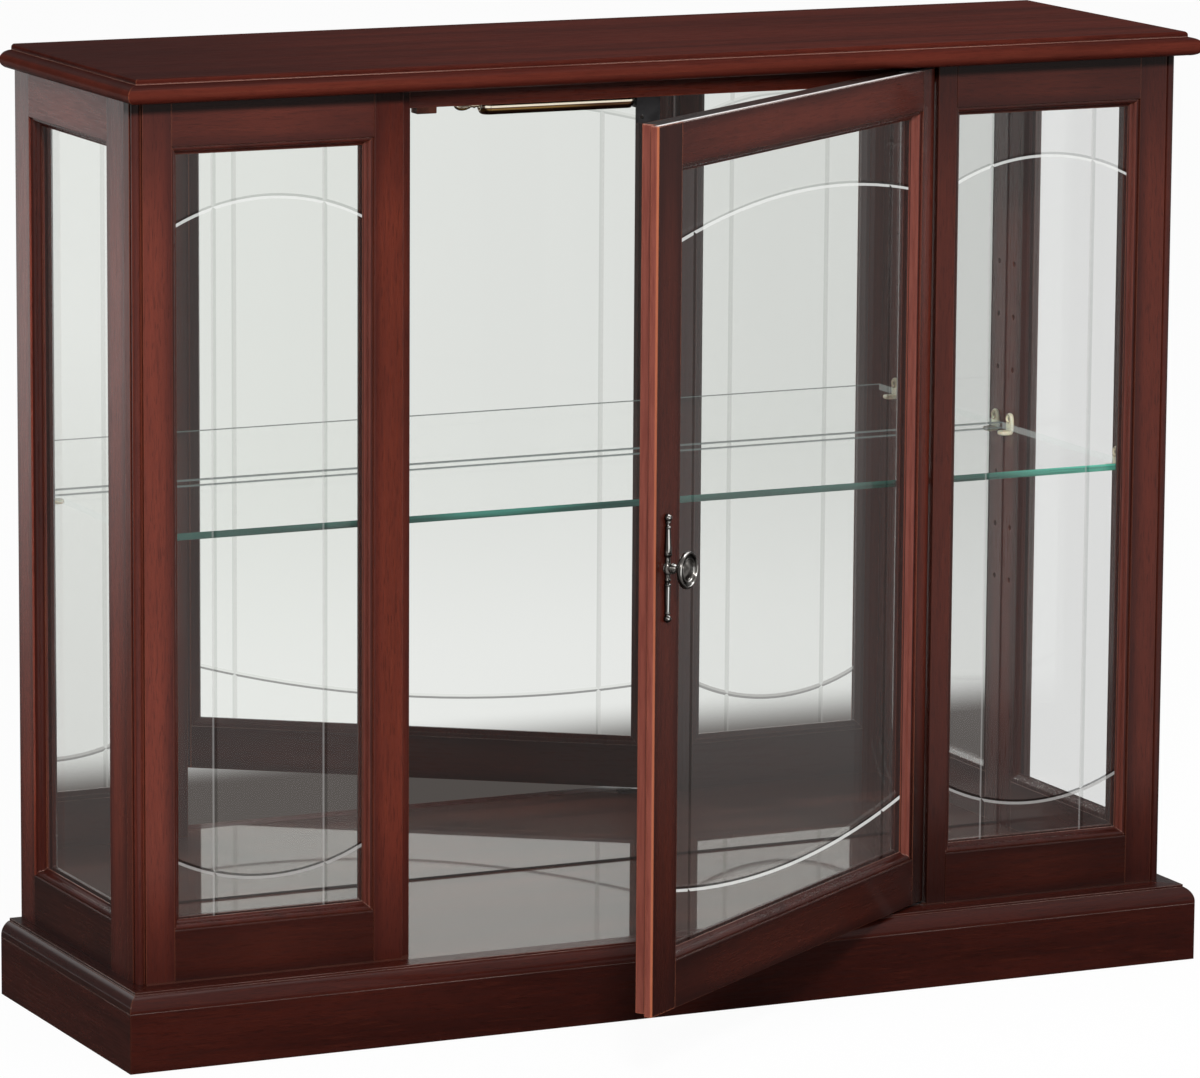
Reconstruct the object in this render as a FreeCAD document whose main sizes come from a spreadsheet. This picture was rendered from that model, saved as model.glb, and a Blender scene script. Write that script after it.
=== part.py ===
import FreeCAD, Part
import math
import os
from types import SimpleNamespace

# Display cabinet: plinth, glazed frame, moulded top, open glazed door, mirror, shelf and lamp.
# X runs to the right, Y to the back and Z up. The origin is the middle of the plinth's underside.
# All lengths are in millimetres and stand in the sheet below.

VALUES = {
    "plinth_width": "1016", "plinth_depth": "305", "plinth_height": "51", "plinth_thick": "19",
    "cleat_size": "20", "cap_height": "16", "cap_width": "27", "cap_lip": "1.5",
    "cap_step": "8", "cap_quirk": "1.2", "cap_upper_step": "2.5", "side_step": "19", "front_step": "33",
    "carcass_height": "740", "frame_thick": "20", "outer_stile": "34.3", "window_width": "180.9",
    "left_inner_stile": "35.8", "right_inner_stile": "18.3", "top_rail": "38.3", "bottom_rail": "43.8",
    "side_front_stile": "38.7", "side_rear_stile": "32.4",
    "bead_radius": "3.5", "quirk_width": "1.5", "edge_round": "1",
    "top_height": "21", "top_nose_height": "16", "top_nose_depth": "11", "top_arris": "3",
    "top_side_overhang": "14", "top_front_overhang": "26.5",
    "header_height": "18.2", "header_depth": "19", "header_gap": "0.5",
    "moulding_width": "7", "moulding_set_back": "2", "glass_set_back": "10", "glass_thick": "4",
    "glass_gap": "0.5", "glazing_bead": "8",
    "groove_width": "4.5", "groove_depth": "1.2", "line_inset": "33.5", "arc_sag": "19.7",
    "top_arc_drop": "38.7", "bottom_arc_rise": "29.7",
    "door_gap": "3", "door_lip_reach": "7", "door_lip_thick": "7", "door_lip_width": "9",
    "lip_gap": "2", "lip_back_gap": "1", "door_free_stile": "40.5", "door_hinge_stile": "26",
    "hinge_gap": "1.5", "hinge_round": "7", "hinge_back_round": "5",
    "door_arris": "2.5", "door_open_angle": "35.5",
    "leaf_length": "42", "leaf_width": "11", "leaf_thick": "2", "leaf_sink": "1",
    "leaf_rise": "0.8", "pin_radius": "2", "pin_length": "9", "pin_clearance": "0.06",
    "fit_gap": "0.3", "rod_inset": "18", "rod_centre_height": "442", "rod_length": "90",
    "rod_radius": "3", "rod_stand_off": "1.5", "knob_radius": "15.7", "knob_reach": "24.5",
    "knob_boss_reach": "8", "mirror_thick": "4", "mirror_gap": "1",
    "back_thick": "4", "back_overlap": "8", "screw_radius": "1.6", "screw_head": "3.2",
    "screw_length": "14", "screw_clearance": "0.1", "shelf_height": "437", "shelf_thick": "6",
    "shelf_front_gap": "2", "shelf_rear_gap": "2", "shelf_groove_inset": "30",
    "hole_radius": "2.5", "hole_depth": "10", "hole_pitch": "48.7", "pin_rise": "0.6",
    "front_hole_inset": "32", "rear_hole_inset": "22", "clip_width": "12", "clip_foot": "4",
    "clip_plate": "3",
    "clip_foot_reach": "13", "clip_pin_radius": "2.4", "clip_pin_length": "9",
    "clip_recess_radius": "3.2", "clip_recess_depth": "1.2", "catch_width": "18",
    "catch_depth": "12", "catch_height": "5.5", "catch_inset": "12", "catch_gap": "0.4",
    "strike_thick": "0.8", "strike_height": "11", "lamp_inset": "81", "lamp_length": "145",
    "lamp_set_back": "50.5", "lamp_axis_drop": "22", "lamp_radius": "10.5", "lamp_wall": "0.9",
    "lamp_opening_drop": "8", "tube_radius": "6", "tube_end": "9", "bracket_thick": "2",
    "bracket_reach": "22", "bracket_drop": "43", "bracket_width": "14",
    "bracket_hole_radius": "2", "bracket_hole_inset": "5", "switch_length": "22",
    "switch_radius": "4.2", "switch_stem_radius": "2",
}

# The whole cabinet is built in one document, and the sheet holds every size by its name.
os.makedirs("parts", exist_ok=True)
doc = FreeCAD.newDocument("display_cabinet")
sheet = doc.addObject("Spreadsheet::Sheet", "sizes")
for row, (name, value) in enumerate(VALUES.items(), start=1):
    sheet.set("A%d" % row, name)
    sheet.set("B%d" % row, value)
    sheet.setAlias("B%d" % row, name)
doc.recompute()
s = SimpleNamespace(**{name: float(sheet.get(name)) for name in VALUES})

X = FreeCAD.Vector(1, 0, 0)
Y = FreeCAD.Vector(0, 1, 0)
Z = FreeCAD.Vector(0, 0, 1)
ORIGIN = FreeCAD.Vector()
QUARTER = 90
HALF = 180
subparts = []


def at(x, y, z):
    return FreeCAD.Vector(x, y, z)


def turned(shape, axis, degrees, offset=ORIGIN):
    copy = shape.copy()
    copy.rotate(ORIGIN, axis, degrees)
    copy.translate(offset)
    return copy


# Planes and heights that several pieces share.
body_half = s.plinth_width / 2 - s.side_step
front = s.front_step - s.plinth_depth / 2
rear = s.plinth_depth / 2
inner_half = body_half - s.frame_thick
inner_front = front + s.frame_thick
base_top = s.plinth_height + s.cap_height
carcass_top = base_top + s.carcass_height
window_bottom = base_top + s.bottom_rail
window_top = carcass_top - s.top_rail
window_height = window_top - window_bottom
window_outer = body_half - s.outer_stile
window_inner = window_outer - s.window_width
side_window_front = inner_front + s.side_front_stile
side_window_rear = rear - s.side_rear_stile
side_window_width = side_window_rear - side_window_front
back_front = rear - s.back_thick
mirror_front = back_front - s.mirror_thick
cap_inner = s.plinth_width / 2 - s.cap_width
floor_front = s.cap_width - rear
shelf_half = inner_half - s.clip_plate
shelf_front = inner_front + s.shelf_front_gap
shelf_rear = mirror_front - s.shelf_rear_gap
hole_height = s.shelf_height + s.shelf_thick + s.pin_rise
hole_rows = {"front": inner_front + s.front_hole_inset, "rear": rear - s.rear_hole_inset}
opening_left = s.left_inner_stile - window_inner
opening_right = window_inner - s.right_inner_stile
door_left = opening_left - s.door_lip_reach
door_right = opening_right - s.hinge_gap
door_bottom = base_top + s.door_gap
door_top = carcass_top - s.door_gap
door_window_left = door_left + s.door_free_stile
door_window_right = door_right - s.door_hinge_stile
hinge_x = door_right - s.hinge_round
hinge_y = front + s.hinge_round
door_turn = FreeCAD.Placement(
    ORIGIN, FreeCAD.Rotation(Z, s.door_open_angle), at(hinge_x, hinge_y, 0))


# Lengths that several rules share.
INNER_WIDTH = "sizes.plinth_width - 2 * sizes.side_step - 2 * sizes.frame_thick"
INNER_DEPTH = "sizes.plinth_depth - sizes.front_step - sizes.frame_thick"
WINDOW_INNER = "(sizes.plinth_width / 2 - sizes.side_step - sizes.outer_stile - sizes.window_width)"
SIDE_WINDOW = INNER_DEPTH + " - sizes.side_front_stile - sizes.side_rear_stile"


def keep(thing):
    """Add a finished object to the list of pieces that are written."""
    subparts.append(thing)
    return thing


def board(name, length, width, height, corner):
    """A box whose three sizes are rules on the sheet, with its lowest corner at a point."""
    box = doc.addObject("Part::Box", name)
    box.setExpression("Length", length)
    box.setExpression("Width", width)
    box.setExpression("Height", height)
    box.Placement = FreeCAD.Placement(corner, FreeCAD.Rotation())
    return box


def rod(name, radius, height, base, axis=Z):
    """A cylinder whose radius and height are rules on the sheet, along an axis from a point."""
    cylinder = doc.addObject("Part::Cylinder", name)
    cylinder.setExpression("Radius", radius)
    cylinder.setExpression("Height", height)
    cylinder.Placement = FreeCAD.Placement(base, FreeCAD.Rotation(Z, axis))
    return cylinder


def cut(name, base, *tools):
    """The base with each tool taken away in turn."""
    for number, tool in enumerate(tools, start=1):
        last = number == len(tools)
        result = doc.addObject("Part::Cut", name if last else "%s_cut_%d" % (name, number))
        result.Base = base
        result.Tool = tool
        base = result
    return base


def fuse(name, *pieces):
    """Several touching pieces made into one."""
    result = doc.addObject("Part::MultiFuse", name)
    result.Shapes = list(pieces)
    return result


def rounded(name, base, chosen, radius_name="edge_round"):
    """The base with the edges rounded that a test of their middle point and direction picks."""
    doc.recompute()
    fillet = doc.addObject("Part::Fillet", name)
    fillet.Base = base
    radius = getattr(s, radius_name)
    picked = []
    for number, edge in enumerate(base.Shape.Edges, start=1):
        if chosen(edge.CenterOfMass, edge.tangentAt(edge.FirstParameter)):
            picked.append((number, radius, radius))
    fillet.Edges = picked
    return fillet


def feature(name, shape, placement=None):
    """A piece that neither a primitive nor a boolean fits, from a shape made in code."""
    thing = doc.addObject("Part::Feature", name)
    thing.Shape = shape
    if placement is not None:
        thing.Placement = placement
    return thing


def section(start, *steps):
    """A closed face. A step of one point is a line, of two an arc and of more a smooth curve."""
    edges = []
    here = start
    for step in steps:
        if len(step) == 1:
            edges.append(Part.makeLine(here, step[0]))
        elif len(step) == 2:
            edges.append(Part.Arc(here, step[0], step[1]).toShape())
        else:
            curve = Part.BSplineCurve()
            curve.interpolate([here] + step)
            edges.append(curve.toShape())
        here = step[-1]
    if here.distanceToPoint(start) > 0:
        edges.append(Part.makeLine(here, start))
    return Part.Face(Part.Wire(edges))


def turned_shape(points, axis_point, axis, degrees=360):
    """A turned piece from a polygon of its half outline."""
    wire = Part.makePolygon(points + points[:1])
    return Part.Face(wire).revolve(axis_point, axis, degrees)


def mitred_strip(face, length, width, reach, mitre_start=True, mitre_end=True):
    """A moulded strip along +X. Its outer edge lies on y = 0, and its width runs to +y."""
    strip = face.extrude(X * length)
    over = width
    low = -reach - over
    wedges = []
    if mitre_start:
        wedges.append([at(-over, -over, low), at(width + over, width + over, low),
                       at(-over, width + over, low)])
    if mitre_end:
        wedges.append([at(length + over, -over, low), at(length + over, width + over, low),
                       at(length - width - over, width + over, low)])
    for corners in wedges:
        wedge = Part.Face(Part.makePolygon(corners + corners[:1]))
        strip = strip.cut(wedge.extrude(Z * (2 * reach + 2 * over)))
    return strip


def window_ring(face, width, height, strip_width):
    """Four mitred strips round a window. It stands in XZ, from its lower left corner."""
    lying = mitred_strip(face, width, strip_width, s.frame_thick)
    standing = mitred_strip(face, height, strip_width, s.frame_thick)
    lying = turned(lying, X, QUARTER)
    standing = turned(standing, X, QUARTER)
    return [lying, turned(lying, Y, HALF, at(width, 0, height)),
            turned(standing, Y, -QUARTER, at(width, 0, 0)),
            turned(standing, Y, QUARTER, at(0, 0, height))]


# Plinth: four boards that stand on the floor, mitred at the two front corners.
def make_plinth():
    half = s.plinth_width / 2
    face = section(at(0, 0, 0), [at(0, 0, s.plinth_height)],
                   [at(0, s.plinth_thick, s.plinth_height)], [at(0, s.plinth_thick, 0)])
    bar = mitred_strip(face, s.plinth_width, s.plinth_thick, s.plinth_height)
    keep(feature("plinth_front", turned(bar, Z, 0, at(-half, -rear, 0))))
    bar = mitred_strip(face, s.plinth_depth, s.plinth_thick, s.plinth_height, False, True)
    keep(feature("plinth_left", turned(bar, Z, -QUARTER, at(-half, rear, 0))))
    bar = mitred_strip(face, s.plinth_depth, s.plinth_thick, s.plinth_height, True, False)
    keep(feature("plinth_right", turned(bar, Z, QUARTER, at(half, -rear, 0))))
    between = "sizes.plinth_width - 2 * sizes.plinth_thick"
    left = s.plinth_thick - half
    keep(board("plinth_rear", between, "sizes.plinth_thick", "sizes.plinth_height",
               at(left, rear - s.plinth_thick, 0)))
    keep(board("plinth_centre_bearer", between, "sizes.plinth_thick", "sizes.plinth_height",
               at(left, -s.plinth_thick / 2, 0)))
    cleats = []
    for label, y in (("front", s.plinth_thick - rear),
                     ("rear", rear - s.plinth_thick - s.cleat_size)):
        cleats.append(board("cleat_" + label, between, "sizes.cleat_size", "sizes.cleat_size",
                            at(left, y, s.plinth_height - s.cleat_size)))
    group = doc.addObject("Part::Compound", "floor_cleats")
    group.Links = cleats
    keep(group)


# Moulded caps on the plinth: a lip, a convex roll, a narrow quirk and a square upper step.
def make_base_caps():
    step = s.cap_step
    rise = s.cap_height
    low = s.cap_lip
    run = step - s.cap_quirk
    climb = rise - low - s.cap_upper_step
    radius = (run ** 2 + climb ** 2) / (2 * run)
    half_sweep = math.asin(climb / radius) / 2
    face = section(
        ORIGIN, [at(0, 0, low)],
        [at(0, radius * (1 - math.cos(half_sweep)), low + radius * math.sin(half_sweep)),
         at(0, run, low + climb)],
        [at(0, step, low + climb)], [at(0, step, rise)], [at(0, s.cap_width, rise)],
        [at(0, s.cap_width, 0)])
    half = s.plinth_width / 2
    base = s.plinth_height
    bar = mitred_strip(face, s.plinth_width, s.cap_width, rise)
    keep(feature("base_cap_front", turned(bar, Z, 0, at(-half, -rear, base))))
    bar = mitred_strip(face, s.plinth_depth, s.cap_width, rise, False, True)
    keep(feature("base_cap_left", turned(bar, Z, -QUARTER, at(-half, rear, base))))
    bar = mitred_strip(face, s.plinth_depth, s.cap_width, rise, True, False)
    keep(feature("base_cap_right", turned(bar, Z, QUARTER, at(half, -rear, base))))


# Floor: one polished panel between the caps, with a shallow seat for the lower hinge leaf.
def make_floor(screws):
    panel = board("floor_board", "sizes.plinth_width - 2 * sizes.cap_width",
                  "sizes.plinth_depth - sizes.cap_width - sizes.back_thick",
                  "sizes.cap_height", at(-cap_inner, floor_front, s.plinth_height))
    seat = leaf_seat("floor_hinge_seat", base_top - s.leaf_sink)
    keep(cut("floor_panel", panel, seat, screws))


def leaf_seat(name, bottom):
    """The shallow pocket that takes a hinge leaf in the floor or in the top."""
    return board(name, "sizes.leaf_length + sizes.leaf_width / 2 + 2 * sizes.fit_gap",
                 "sizes.leaf_width + 2 * sizes.fit_gap", "sizes.leaf_sink",
                 at(hinge_x - s.leaf_length - s.fit_gap,
                    hinge_y - s.leaf_width / 2 - s.fit_gap, bottom))


# Outer stiles of the front: the corner carries a standing bead between two quirks.
def make_outer_stile(name, side):
    corner = body_half * side
    reach = s.bead_radius * 2 + s.quirk_width
    left = corner if side < 0 else corner - s.outer_stile
    stile = board(name + "_board", "sizes.outer_stile", "sizes.frame_thick",
                  "sizes.carcass_height", at(left, front, base_top))
    over = "2 * sizes.bead_radius + sizes.quirk_width"
    wide = board(name + "_front_quirk", over, "sizes.bead_radius", "sizes.carcass_height",
                 at(corner if side < 0 else corner - reach, front, base_top))
    deep = board(name + "_side_quirk", "sizes.bead_radius", over, "sizes.carcass_height",
                 at(corner if side < 0 else corner - s.bead_radius, front, base_top))
    bead = rod(name + "_bead", "sizes.bead_radius", "sizes.carcass_height",
               at(corner - side * s.bead_radius, front + s.bead_radius, base_top))
    keep(fuse(name, cut(name + "_core", stile, wide, deep), bead))


# Inner stiles of the front. The left one is rebated for the lip of the door.
def make_inner_stiles():
    stile = board("left_inner_board", "sizes.left_inner_stile", "sizes.frame_thick",
                  "sizes.carcass_height", at(-window_inner, front, base_top))
    rebate = board("left_inner_rebate", "sizes.door_lip_reach + sizes.lip_gap",
                   "sizes.door_lip_thick + sizes.lip_back_gap", "sizes.carcass_height",
                   at(door_left - s.lip_gap, front, base_top))
    rebated = cut("left_inner_rebated", stile, rebate)
    keep(rounded("left_front_inner_stile", rebated,
                 lambda p, d: abs(d.z) > 0.5 and p.y < front + s.fit_gap))
    stile = board("right_inner_board", "sizes.right_inner_stile", "sizes.frame_thick",
                  "sizes.carcass_height", at(opening_right, front, base_top))
    keep(rounded("right_front_inner_stile", stile,
                 lambda p, d: abs(d.z) > 0.5 and p.y < front + s.fit_gap))


# Rails of the two fixed front frames, with the edge to the window softened.
def make_front_rails():
    for label, left in (("left", -window_outer), ("right", window_inner)):
        for place, height, bottom in (("top", "sizes.top_rail", window_top),
                                      ("bottom", "sizes.bottom_rail", base_top)):
            name = "%s_front_%s_rail" % (label, place)
            rail = board(name + "_board", "sizes.window_width", "sizes.frame_thick", height,
                         at(left, front, bottom))
            edge = window_top if place == "top" else window_bottom
            keep(rounded(name, rail, lambda p, d, z=edge: abs(d.x) > 0.5
                         and p.y < front + s.fit_gap and abs(p.z - z) < s.fit_gap))


# Side frames: a front stile behind the front frame, a rear stile and two rails a side.
def make_side_frames(screws):
    for label, left in (("left", -body_half), ("right", inner_half)):
        outward = -1 if label == "left" else 1
        outer = body_half * outward
        inner = inner_half * outward
        holes = [shelf_holes(label, place, inner, outward) for place in ("front", "rear")]
        stile = board(label + "_side_front_board", "sizes.frame_thick",
                      "sizes.side_front_stile", "sizes.carcass_height",
                      at(left, inner_front, base_top))
        keep(cut(label + "_side_front_stile", stile, holes[0]))
        stile = board(label + "_side_rear_board", "sizes.frame_thick",
                      "sizes.side_rear_stile", "sizes.carcass_height",
                      at(left, side_window_rear, base_top))
        overlap = s.back_overlap
        rebate = board(label + "_rear_rebate", "sizes.back_overlap", "sizes.back_thick",
                       "sizes.carcass_height",
                       at(inner - overlap if outward < 0 else inner, back_front, base_top))
        keep(cut(label + "_side_rear_stile", stile, rebate, holes[1], screws))
        for place, height, bottom in (("top", "sizes.top_rail", window_top),
                                      ("bottom", "sizes.bottom_rail", base_top)):
            name = "%s_side_%s_rail" % (label, place)
            rail = board(name + "_board", "sizes.frame_thick", SIDE_WINDOW, height,
                         at(left, side_window_front, bottom))
            edge = window_top if place == "top" else window_bottom
            keep(rounded(name, rail, lambda p, d, z=edge, x=outer: abs(d.y) > 0.5
                         and abs(p.x - x) < s.fit_gap and abs(p.z - z) < s.fit_gap))


def shelf_holes(label, place, inner, outward):
    """A row of blind holes for the shelf clips, in the inner face of one side stile."""
    steps_share = (-3, -2, -1, 0, 1, 2, 3)
    bores = []
    for step in steps_share:
        bores.append(Part.makeCylinder(
            s.hole_radius, s.hole_depth,
            at(inner, hole_rows[place], hole_height + step * s.hole_pitch), X * outward))
    return feature("%s_%s_holes" % (label, place), Part.makeCompound(bores))


# Header rail: it closes the front under the top and stops the door.
def make_header():
    keep(board("header_rail", "2 * %s" % WINDOW_INNER,
               "sizes.header_depth", "sizes.header_height",
               at(-window_inner, inner_front + s.header_gap, carcass_top - s.header_height)))


# Top board: slabs with the same nose profile, one for the front and one a side, meet in mitres.
def nose_slab(along, deep):
    """A slab along +X whose edge on y = 0 has a half ellipse below and a rounded step above."""
    nose = s.top_nose_height / 2
    reach = s.top_nose_depth
    arris = s.top_arris
    full = s.top_height
    bend = math.sqrt(0.5)
    steps_count = 12
    curve = []
    for step in range(1, steps_count + 1):
        angle = math.pi * step / steps_count
        curve.append(at(0, reach * (1 - math.sin(angle)), nose * (1 - math.cos(angle))))
    face = section(
        at(0, reach, 0), curve, [at(0, reach, full - arris)],
        [at(0, reach + arris * (1 - bend), full - arris * (1 - bend)), at(0, reach + arris, full)],
        [at(0, deep, full)], [at(0, deep, 0)])
    return face.extrude(X * along)


def make_top():
    half = body_half + s.top_side_overhang
    tip = front - s.top_front_overhang
    deep = rear - tip
    slab = turned(nose_slab(2 * half, deep), Z, 0, at(-half, tip, carcass_top))
    left = turned(nose_slab(deep, 2 * half), Z, -QUARTER, at(-half, rear, carcass_top))
    right = turned(nose_slab(deep, 2 * half), Z, QUARTER, at(half, tip, carcass_top))
    shape = feature("top_profiles", slab.common(left).common(right))
    keep(cut("top_board", shape, leaf_seat("top_hinge_seat", carcass_top)))


# Window mouldings: a small square, a round and a hollow down to the glass.
def moulding_face():
    wide = s.moulding_width
    deep = s.glass_set_back
    top = s.moulding_set_back
    square_share, round_share, bend_share = 0.2, 0.55, 0.7
    middle = top + (deep - top) * 0.45
    return section(
        at(0, 0, -top), [at(0, wide * square_share, -top)],
        [at(0, wide * (square_share + (round_share - square_share) * bend_share),
            -(top + (middle - top) * (1 - bend_share))), at(0, wide * round_share, -middle)],
        [at(0, wide * (round_share + (1 - round_share) * (1 - bend_share)),
            -(middle + (deep - middle) * bend_share * bend_share)),
         at(0, wide, -deep + s.edge_round)],
        [at(0, wide, -deep)], [at(0, 0, -deep)])


def bead_face():
    """The inner bead that holds the glass, with one corner cut off."""
    low = -s.glass_set_back - s.glass_thick
    back = -s.frame_thick
    wide = s.glazing_bead
    chamfer_share = 0.5
    return section(at(0, 0, low), [at(0, wide, low)], [at(0, wide, low + (back - low) * chamfer_share)],
                   [at(0, wide * chamfer_share, back)], [at(0, 0, back)])


def pane_shape(width, height, engraved):
    """A pane in a window, from the window's lower left corner, with its ground lines."""
    gap = s.glass_gap
    glass = Part.makeBox(width - 2 * gap, s.glass_thick, height - 2 * gap,
                         at(gap, s.glass_set_back, gap))
    if not engraved:
        return glass
    half = s.groove_width / 2
    y = s.glass_set_back
    over = s.groove_depth
    for x in (s.moulding_width + s.line_inset, width - s.moulding_width - s.line_inset):
        groove = Part.Face(Part.makePolygon([at(x - half, y, 0), at(x, y + s.groove_depth, 0),
                                             at(x + half, y, 0), at(x - half, y, 0)]))
        lid = Part.makeBox(2 * half, over, height, at(x - half, y - over, 0))
        glass = glass.cut(groove.extrude(Z * height)).cut(lid)
    chord = width / 2 - s.moulding_width
    radius = (chord ** 2 + s.arc_sag ** 2) / (2 * s.arc_sag)
    reach = math.degrees(math.asin((width / 2) / radius))
    top = height - s.moulding_width - s.top_arc_drop
    low = s.moulding_width + s.bottom_arc_rise
    for peak, upward in ((top, 1), (low, -1)):
        centre = at(width / 2, y, peak - upward * radius)
        points = [centre + at(0, 0, upward * (radius - half)),
                  centre + at(0, s.groove_depth, upward * radius),
                  centre + at(0, 0, upward * (radius + half))]
        face = Part.Face(Part.makePolygon(points + points[:1]))
        face.rotate(centre, Y, -reach)
        glass = glass.cut(face.revolve(centre, Y, 2 * reach))
    return glass


# Panes, mouldings and beads of the four fixed windows and of the door.
def make_glazing():
    sides = {
        "left_front": (s.window_width, FreeCAD.Placement(
            at(-window_outer, front, window_bottom), FreeCAD.Rotation())),
        "right_front": (s.window_width, FreeCAD.Placement(
            at(window_inner, front, window_bottom), FreeCAD.Rotation())),
        "left_side": (side_window_width, FreeCAD.Placement(
            at(-body_half, side_window_rear, window_bottom), FreeCAD.Rotation(Z, -QUARTER))),
        "right_side": (side_window_width, FreeCAD.Placement(
            at(body_half, side_window_front, window_bottom), FreeCAD.Rotation(Z, QUARTER))),
    }
    beads = {"front": [], "side": []}
    for label, (width, place) in sides.items():
        engraved = label.endswith("front")
        ring = Part.makeCompound(window_ring(moulding_face(), width, window_height,
                                             s.moulding_width))
        keep(feature(label + "_moulding", ring, place))
        keep(feature(label + "_pane", pane_shape(width, window_height, engraved), place))
        group = Part.makeCompound(window_ring(bead_face(), width, window_height, s.glazing_bead))
        group.Placement = place
        beads["front" if engraved else "side"].append(group)
    for label, groups in beads.items():
        solids = [solid for group in groups for solid in group.Solids]
        keep(feature(label + "_glazing_beads", Part.makeCompound(solids)))
    width = door_window_right - door_window_left
    place = door_turn.multiply(FreeCAD.Placement(
        at(door_window_left, front, window_bottom), FreeCAD.Rotation()))
    ring = Part.makeCompound(window_ring(moulding_face(), width, window_height, s.moulding_width))
    keep(feature("door_moulding", ring, place))
    keep(feature("door_pane", pane_shape(width, window_height, True), place))
    ring = Part.makeCompound(window_ring(bead_face(), width, window_height, s.glazing_bead))
    keep(feature("door_glazing_beads", ring, place))


# Door: two stiles and two rails, drawn closed and then turned open on the hinge axis.
def make_door():
    free = board("door_free_board", "sizes.door_free_stile", "sizes.frame_thick",
                 "sizes.carcass_height - 2 * sizes.door_gap", at(door_left, front, door_bottom))
    step = board("door_lip_step", "sizes.door_lip_width",
                 "sizes.frame_thick - sizes.door_lip_thick",
                 "sizes.carcass_height - 2 * sizes.door_gap",
                 at(door_left, front + s.door_lip_thick, door_bottom))
    lipped = cut("door_free_lipped", free, step)
    stile = rounded("door_free_stile", lipped,
                    lambda p, d: abs(d.z) > 0.5 and abs(p.x - door_left) < s.fit_gap
                    and p.y < front + s.fit_gap, "door_arris")
    stile.Placement = door_turn
    keep(stile)
    hinge = board("door_hinge_board", "sizes.door_hinge_stile", "sizes.frame_thick",
                  "sizes.carcass_height - 2 * sizes.door_gap",
                  at(door_right - s.door_hinge_stile, front, door_bottom))
    barrel = rounded("door_hinge_barrel", hinge,
                     lambda p, d: abs(d.z) > 0.5 and abs(p.x - door_right) < s.fit_gap
                     and p.y < front + s.fit_gap, "hinge_round")
    barrel = rounded("door_hinge_cleared", barrel,
                     lambda p, d: abs(d.z) > 0.5 and abs(p.x - door_right) < s.fit_gap
                     and p.y > inner_front - s.fit_gap, "hinge_back_round")
    cutters = []
    for label, bottom in (("lower", door_bottom), ("upper", door_top - s.leaf_thick + s.leaf_rise)):
        cutters.append(board(
            "door_%s_leaf_seat" % label,
            "sizes.leaf_length + sizes.leaf_width / 2 + 2 * sizes.fit_gap",
            "sizes.leaf_width + 2 * sizes.fit_gap", "sizes.leaf_thick - sizes.leaf_rise",
            at(hinge_x - s.leaf_length - s.fit_gap, hinge_y - s.leaf_width / 2 - s.fit_gap,
               bottom)))
    for label, bottom in (("lower", door_bottom), ("upper", door_top - s.pin_length)):
        bore = Part.makeCylinder(s.pin_radius + s.fit_gap, s.pin_length,
                                 at(hinge_x, hinge_y, bottom), Z)
        cutters.append(feature("door_%s_pin_bore" % label, bore))
    stile = cut("door_hinge_stile", barrel, *cutters)
    stile.Placement = door_turn
    keep(stile)
    width = ("2 * " + WINDOW_INNER + " - sizes.left_inner_stile - sizes.right_inner_stile"
             " + sizes.door_lip_reach - sizes.hinge_gap"
             " - sizes.door_free_stile - sizes.door_hinge_stile")
    seat_left = hinge_x - s.leaf_length - s.fit_gap
    for place, height, bottom in (("top", "sizes.top_rail - sizes.door_gap", window_top),
                                  ("bottom", "sizes.bottom_rail - sizes.door_gap", door_bottom)):
        name = "door_%s_rail" % place
        rail = board(name + "_board", width, "sizes.frame_thick", height,
                     at(door_window_left, front, bottom))
        edge = window_top if place == "top" else window_bottom
        soft = rounded(name + "_soft", rail, lambda p, d, z=edge: abs(d.x) > 0.5
                       and p.y < front + s.fit_gap and abs(p.z - z) < s.fit_gap)
        seat_bottom = door_bottom if place == "bottom" else door_top - s.leaf_thick + s.leaf_rise
        seat = board(name + "_leaf_seat", "sizes.leaf_length",
                     "sizes.leaf_width + 2 * sizes.fit_gap", "sizes.leaf_thick - sizes.leaf_rise",
                     at(seat_left, hinge_y - s.leaf_width / 2 - s.fit_gap, seat_bottom))
        rail = cut(name, soft, seat)
        rail.Placement = door_turn
        keep(rail)


# Hinges: at the top and the bottom a leaf with a pin in the body and a bored leaf in the door.
def leaf_outline(bottom):
    """A flat leaf with a round end about the hinge axis."""
    half = s.leaf_width / 2
    face = section(at(hinge_x, hinge_y - half, bottom),
                   [at(hinge_x + half, hinge_y, bottom), at(hinge_x, hinge_y + half, bottom)],
                   [at(hinge_x - s.leaf_length, hinge_y + half, bottom)],
                   [at(hinge_x - s.leaf_length, hinge_y - half, bottom)])
    return face.extrude(Z * s.leaf_thick)


def make_hinges():
    middle = at(hinge_x, hinge_y, 0)
    body_low = base_top - s.leaf_sink
    body_high = carcass_top + s.leaf_sink - s.leaf_thick
    low = leaf_outline(body_low).fuse(
        Part.makeCylinder(s.pin_radius, s.pin_length - s.leaf_rise, middle + Z * body_low, Z))
    high = leaf_outline(body_high).fuse(
        Part.makeCylinder(s.pin_radius, s.pin_length - s.leaf_rise,
                          middle + Z * (body_high + s.leaf_thick), -Z))
    keep(feature("hinge_body_leaves", Part.makeCompound([low, high])))
    leaves = []
    for bottom in (door_bottom - s.leaf_rise, door_top + s.leaf_rise - s.leaf_thick):
        bore = Part.makeCylinder(s.pin_radius + s.pin_clearance, s.leaf_thick,
                                 middle + Z * bottom, Z)
        leaves.append(leaf_outline(bottom).cut(bore))
    keep(feature("hinge_door_leaves", Part.makeCompound(leaves), door_turn))


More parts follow.
